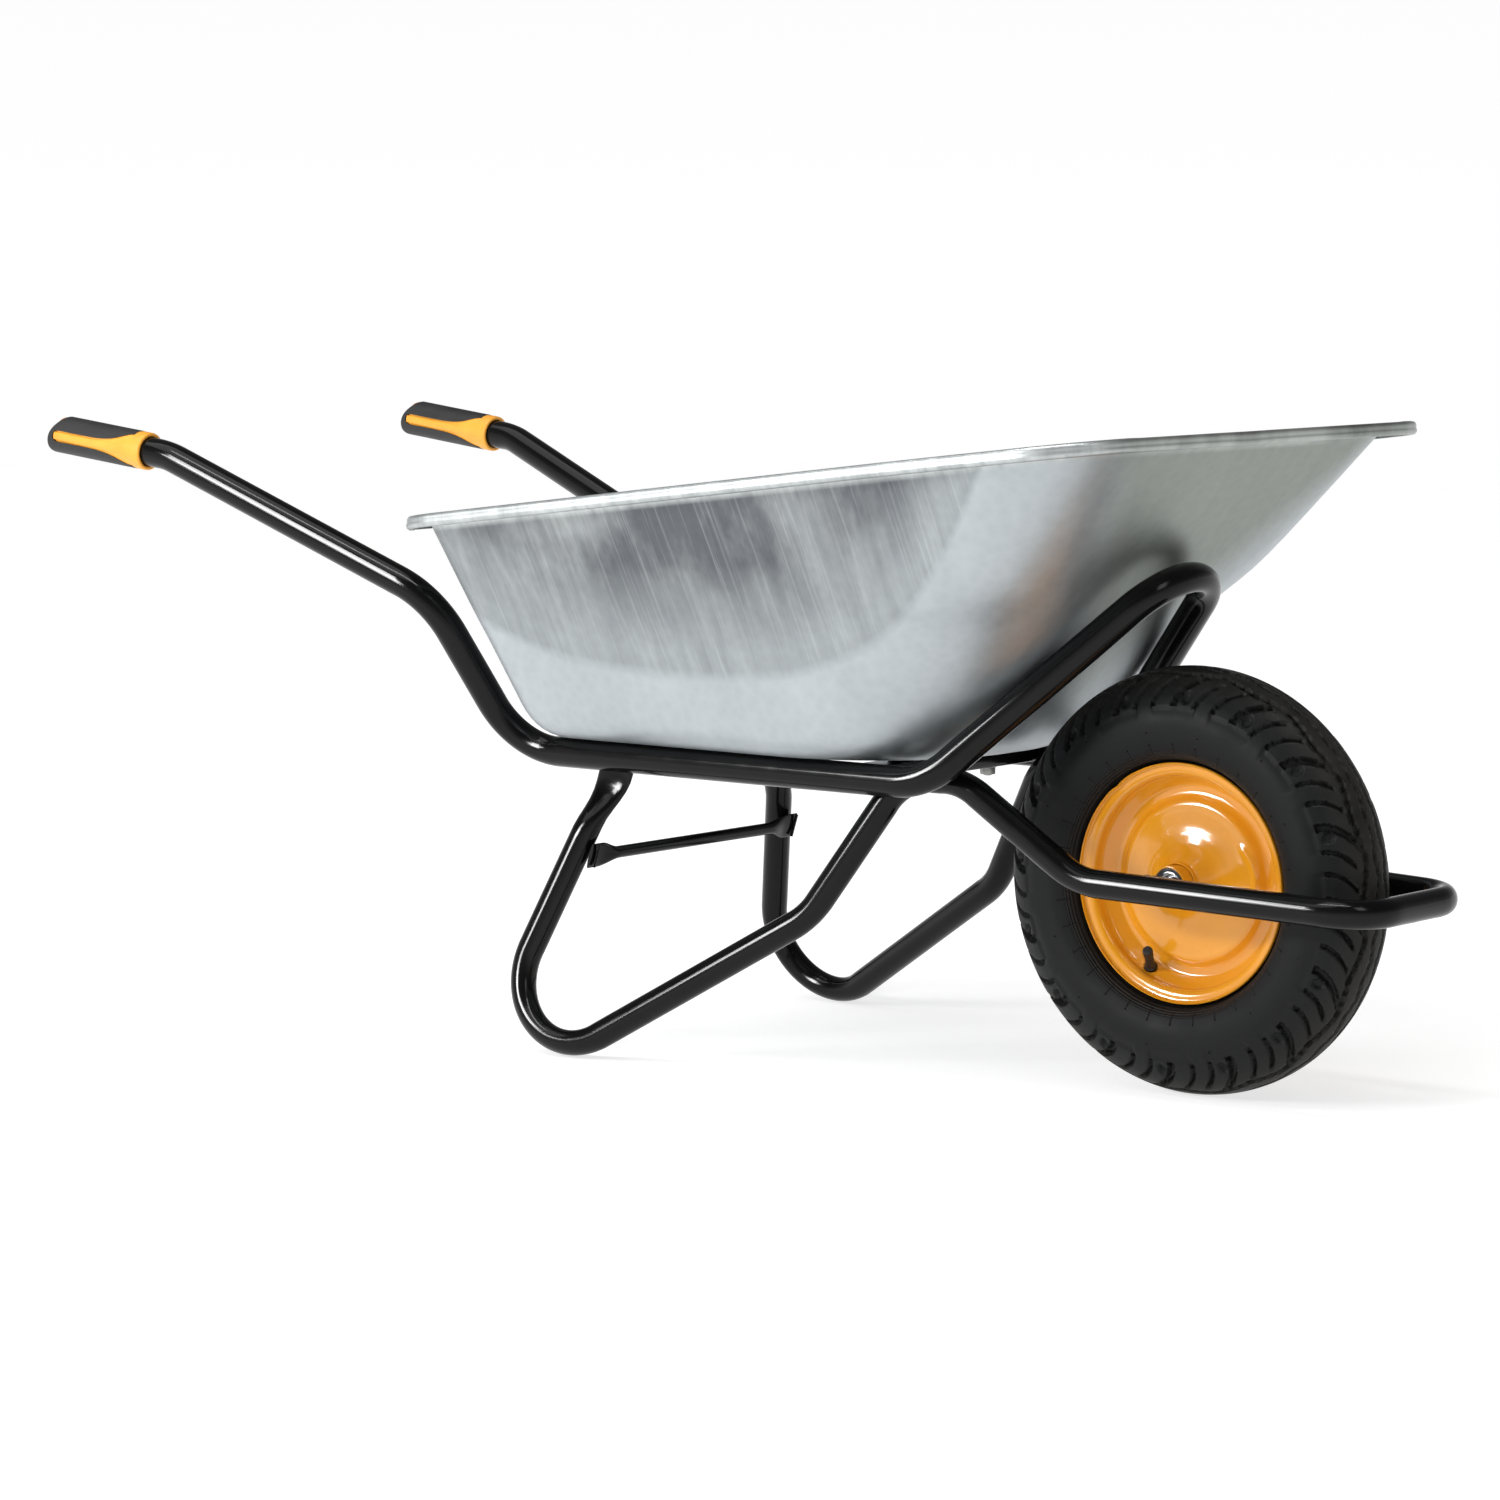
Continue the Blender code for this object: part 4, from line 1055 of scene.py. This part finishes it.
# name, CAD node, outline, distance of its inner face from the centre plane, steps, finish and body
AXLE_RINGS = [
    ("race_outer_", "bearing_outer_", ring_profile(0.0134, 0.016, 0.0098, 0.0005), 0.0379, 96, SHADED_RACE_STEEL,
     "wheel"),
    ("race_inner_", "bearing_inner_", ring_profile(BORE_R, 0.0084, 0.0098), 0.0379, 96, RING_STEEL, "frame"),
    ("seal_", "bearing_shield_", SHIELD_OUTLINE, 0.0466, 96, RING_STEEL, "wheel"),
    ("spacer_", "axle_spacer_", ring_profile(BORE_R, 0.0082, 0.0096), 0.048, 64, BLACK, "frame"),
    ("plate_", "axle_washer_", ring_profile(BORE_R, 0.0088, 0.0018), 0.0579, 64, FASTENER, "frame"),
]


def axle_boss(tag, s):
    """A boss between the axle nut and the bumper arm, hollowed to fit round the arm."""
    boss = spun("boss_" + tag, ring_profile(BORE_R, 0.012, 0.022, 0.0006), at(0, s * 0.0695, AXLE_Z),
                (0, s, 0), 64)
    run = BUMPER_FRONT - BUMPER_REAR
    beside = BUMPER_REAR + run * ((AXLE_X - BUMPER_REAR.x) / run.x)
    drill = rod(LEG_R + GAP + 0.0002, 0.06)
    subtract(boss, spun("drill", drill, on_side(s, beside), on_side(s, run), 96))
    return boss


for tag, s in SIDES:
    for name, node, profile, y, steps, finish, body in AXLE_RINGS:
        dress(spun(name + tag, profile, at(0, s * y, AXLE_Z), (0, s, 0), steps), finish, body, node + tag)
    hex_nut("lock_nut_" + tag, at(0, s * 0.0646, AXLE_Z), (0, 1, 0), 0.017, 0.0092, BORE_R,
            "axle_nut_" + tag)
    dress(axle_boss(tag, s), BLACK, "frame", "axle_boss_" + tag)

# -------- grips
# the yellow stripe on each side of a grip: distance from the grip's front and half width
STRIPE = mm([(10, 16.5), (19, 15.2), (28, 12.2), (37, 9.2), (48, 7.0), (62, 5.8), (80, 5.5), (100, 5.5),
             (116, 5.6), (120, 4.2), (121.8, 1.6)])
STRIPE_AT, STRIPE_HALF = zip(*STRIPE)
CORE_OUTLINE = rounded(mm([(15.3, 0.5), (18.0, 0.0), (19.3, 1.5), (19.3, 11.0), (19.0, 13.6), (18.9, 16.0),
                           (18.9, 121.2), (17.2, 121.2), (17.2, 111.2), (15.3, 111.2)]), 0.0012, 4)
SLEEVE_OUTLINE = np.array(mm(
    [(17.4, 14.3), (19.0, 14.3), (19.5, 15.6)] + [(19.5, h) for h in range(20, 140, 4)]
    + [(19.5, 144), (19.2, 147.4), (18.2, 149.2), (16, 150), (8, 150), (0, 150), (0, 112), (17.4, 112)]))
COVERED_R = 0.017
# the stripe's window is cut from inside the sleeve to beyond it, on each side
WINDOW_SIDES = ((-0.00924, -0.03), (0.00924, 0.03))
TUBE_END = 0.1125
GRIP_SIDES = 96 if FINE else 64


def carve_core(local):
    """The core is full size under the stripe and lower where the sleeve covers it."""
    u, v = local[..., 0], local[..., 2]
    r = np.hypot(local[..., 1], v)
    covered = (u > 0.0145) & (r > 0.018)
    hidden = smooth_step((np.abs(v) - np.interp(u, STRIPE_AT, STRIPE_HALF) - 0.0002) / 0.001) * covered
    local[..., 1:] *= (1 - hidden * (1 - COVERED_R / np.maximum(r, 1e-6)))[..., None]
    return local


def slope_end(local):
    """The rear end of the sleeve leans: its top ends sooner than its underside."""
    u, v = local[..., 0], local[..., 2]
    upper = 0.129 - v * math.tan(math.radians(9))
    lower = 0.1315 - v * math.tan(math.radians(40))
    soft = 0.003
    reach = -soft * np.log(np.exp(-upper / soft) + np.exp(-lower / soft)) + 0.001
    beyond = np.clip((u - TUBE_END) / (0.15 - TUBE_END), 0, 1)
    local[..., 0] = np.where(u > TUBE_END, TUBE_END + (np.minimum(reach, 0.1321) - TUBE_END) * beyond, u)
    return local


def grip(tag, s):
    front, along = on_side(s, GRIP_FRONT), on_side(s, GRIP_DIR)
    up = along.cross(Vector((0, 1, 0))).normalized()
    if up.z < 0:
        up = -up
    across = up.cross(along).normalized()
    turn = np.array(Matrix((along, across, up)).transposed())
    angles = circle(GRIP_SIDES)

    def placed(local):
        return np.asarray(local) @ turn.T + np.array(front)

    def shell(name, profile, warp):
        r, h = profile[:, 0][:, None], profile[:, 1][:, None]
        local = np.stack([np.repeat(h, len(angles), 1), r * np.cos(angles), r * np.sin(angles)], -1)
        return closed_skin(name, placed(warp(local)), 50)

    dress(shell("grip_body_" + tag, CORE_OUTLINE, carve_core), GRIP_YELLOW, "frame", "grip_core_" + tag)
    sleeve = shell("grip_cover_" + tag, SLEEVE_OUTLINE, slope_end)
    line = resample([(u, v + GAP) for u, v in STRIPE], 40)
    window = np.concatenate([line, (line * np.array([1, -1]))[::-1]])
    count = len(window)
    for low_and_high in WINDOW_SIDES:
        ends = [np.stack([window[:, 0], np.full(count, y), window[:, 1]], -1) for y in low_and_high]
        caps = [list(range(count)), list(range(count, 2 * count))]
        subtract(sleeve, from_arrays("cutter", placed(np.concatenate(ends)), grid_faces(2, count) + caps))
    sleeve.data.set_sharp_from_angle(angle=math.radians(45))
    dress(sleeve, GRIP_BLACK, "frame", "grip_sleeve_" + tag)


for tag, s in SIDES:
    grip(tag, s)

# -------- welds
BOSS_WELD_R = 0.0122
BOSS_WELD_Y = 0.0832
for tag, s in SIDES:
    around = [at(BOSS_WELD_R * math.cos(a), s * BOSS_WELD_Y, AXLE_Z - BOSS_WELD_R * math.sin(a))
              for a in np.linspace(0, 2 * math.pi, 30)]
    weld("weld_axle_" + tag, around, 0.0016)
    weld("weld_leg_" + tag, [Vector((LEG_TOP.x + dx, s * 0.1322, 0.2765))
                             for dx in (-0.017, -0.006, 0.006, 0.02)], 0.0018)
    weld("weld_brace_" + tag, [Vector((BRACE_X + 0.004 + dz * 0.32, s * 0.156, BRACE_Z + dz))
                               for dz in (-0.0115, -0.004, 0.004, 0.0115)], 0.0016)
    for end, x in (("front", FRONT_BAR_X), ("rear", REAR_BAR_X)):
        for i, dx in enumerate((-BAR_WIDTH / 2, BAR_WIDTH / 2)):
            weld("weld_bar_%s_%s_%d" % (end, tag, i + 1),
                 [at(x + dx, s * (BAR_HALF - 0.0002), BAR_TOP - z) for z in (0.003, 0.007, 0.011, 0.015)],
                 0.0016)

# -------- floor, light and camera
FLOOR_Z = -0.0005
floor_corners = [(-9, -9, FLOOR_Z), (9, -9, FLOOR_Z), (9, 9, FLOOR_Z), (-9, 9, FLOOR_Z)]
ground = from_arrays("floor", floor_corners, [(0, 1, 2, 3)])
pale = material("floor_paint")
ground.data.materials.append(pale.set(
    Base_Color=pale.ramp(pale.noise(60.0, 3.0), [(0.3, 0.56), (0.7, 0.59)]), Roughness=0.9,
    Specular_IOR_Level=0.1, Emission_Color=(1.0, 1.0, 1.0), Emission_Strength=0.7))

scene = bpy.context.scene
scene.world = bpy.data.worlds.new("studio")
sky = Nodes(scene.world, "Background", "Generated")
# the studio is white at the horizon and darker overhead
GREYS = [(0.0, 1.0), (0.1, 0.96), (0.24, 0.4), (0.45, 0.14), (1.0, 0.1)]
sky.set(Color=sky.ramp(sky.split(sky.coords)[2], GREYS), Strength=1.0)


def placed_in_scene(name, data, place, rotation):
    obj = bpy.data.objects.new(name, data)
    scene.collection.objects.link(obj)
    obj.location = place
    obj.rotation_euler = rotation
    return obj


def lamp(name, place, size, power, aim=(0.0, 0.0, 0.3)):
    data = bpy.data.lights.new(name, "AREA")
    data.shape = "RECTANGLE"
    data.size, data.size_y = size
    data.energy = power
    turn = (Vector(aim) - Vector(place)).to_track_quat("-Z", "Y")
    return placed_in_scene(name, data, place, turn.to_euler())


lamp("overhead", (0.2, -1.1, 3.0), (3.0, 0.22), 40)
lamp("key", (-1.3, -3.05, 1.55), (1.5, 0.32), 66, (0.3, 0.0, 0.25))
lamp("fill", (3.0, -1.0, 2.6), (0.8, 1.4), 12)
# a tall softbox that only makes the bright lines along the enamelled tubes and on the rims
softbox = lamp("softbox", (-1.2, -2.8, 1.56), (0.75, 1.4), 175, (-0.1, -0.1, 0.25))
softbox.visible_diffuse = False
enamelled = bpy.data.collections.new("enamelled_pieces")
for piece in scene.objects:
    if piece.type == "MESH" and piece.active_material in (BLACK[0], ORANGE[0]):
        enamelled.objects.link(piece)
softbox.light_linking.receiver_collection = enamelled

sky_panel = bpy.data.lights.new("sky_panel", "SUN")
sky_panel.energy = 1.15
sky_panel.angle = math.radians(50)
placed_in_scene("sky_panel", sky_panel, (0, 0, 0), (math.radians(18), math.radians(-14), 0))

lens = bpy.data.cameras.new("camera")
lens.sensor_width = 36
lens.lens = 117.6
lens.clip_end = 60
scene.camera = placed_in_scene("camera", lens, (AXLE_X + 2.501, -3.772, 0.812),
                               (math.radians(90 - 6.21), 0, math.radians(38.81)))
scene.view_settings.view_transform = "Standard"
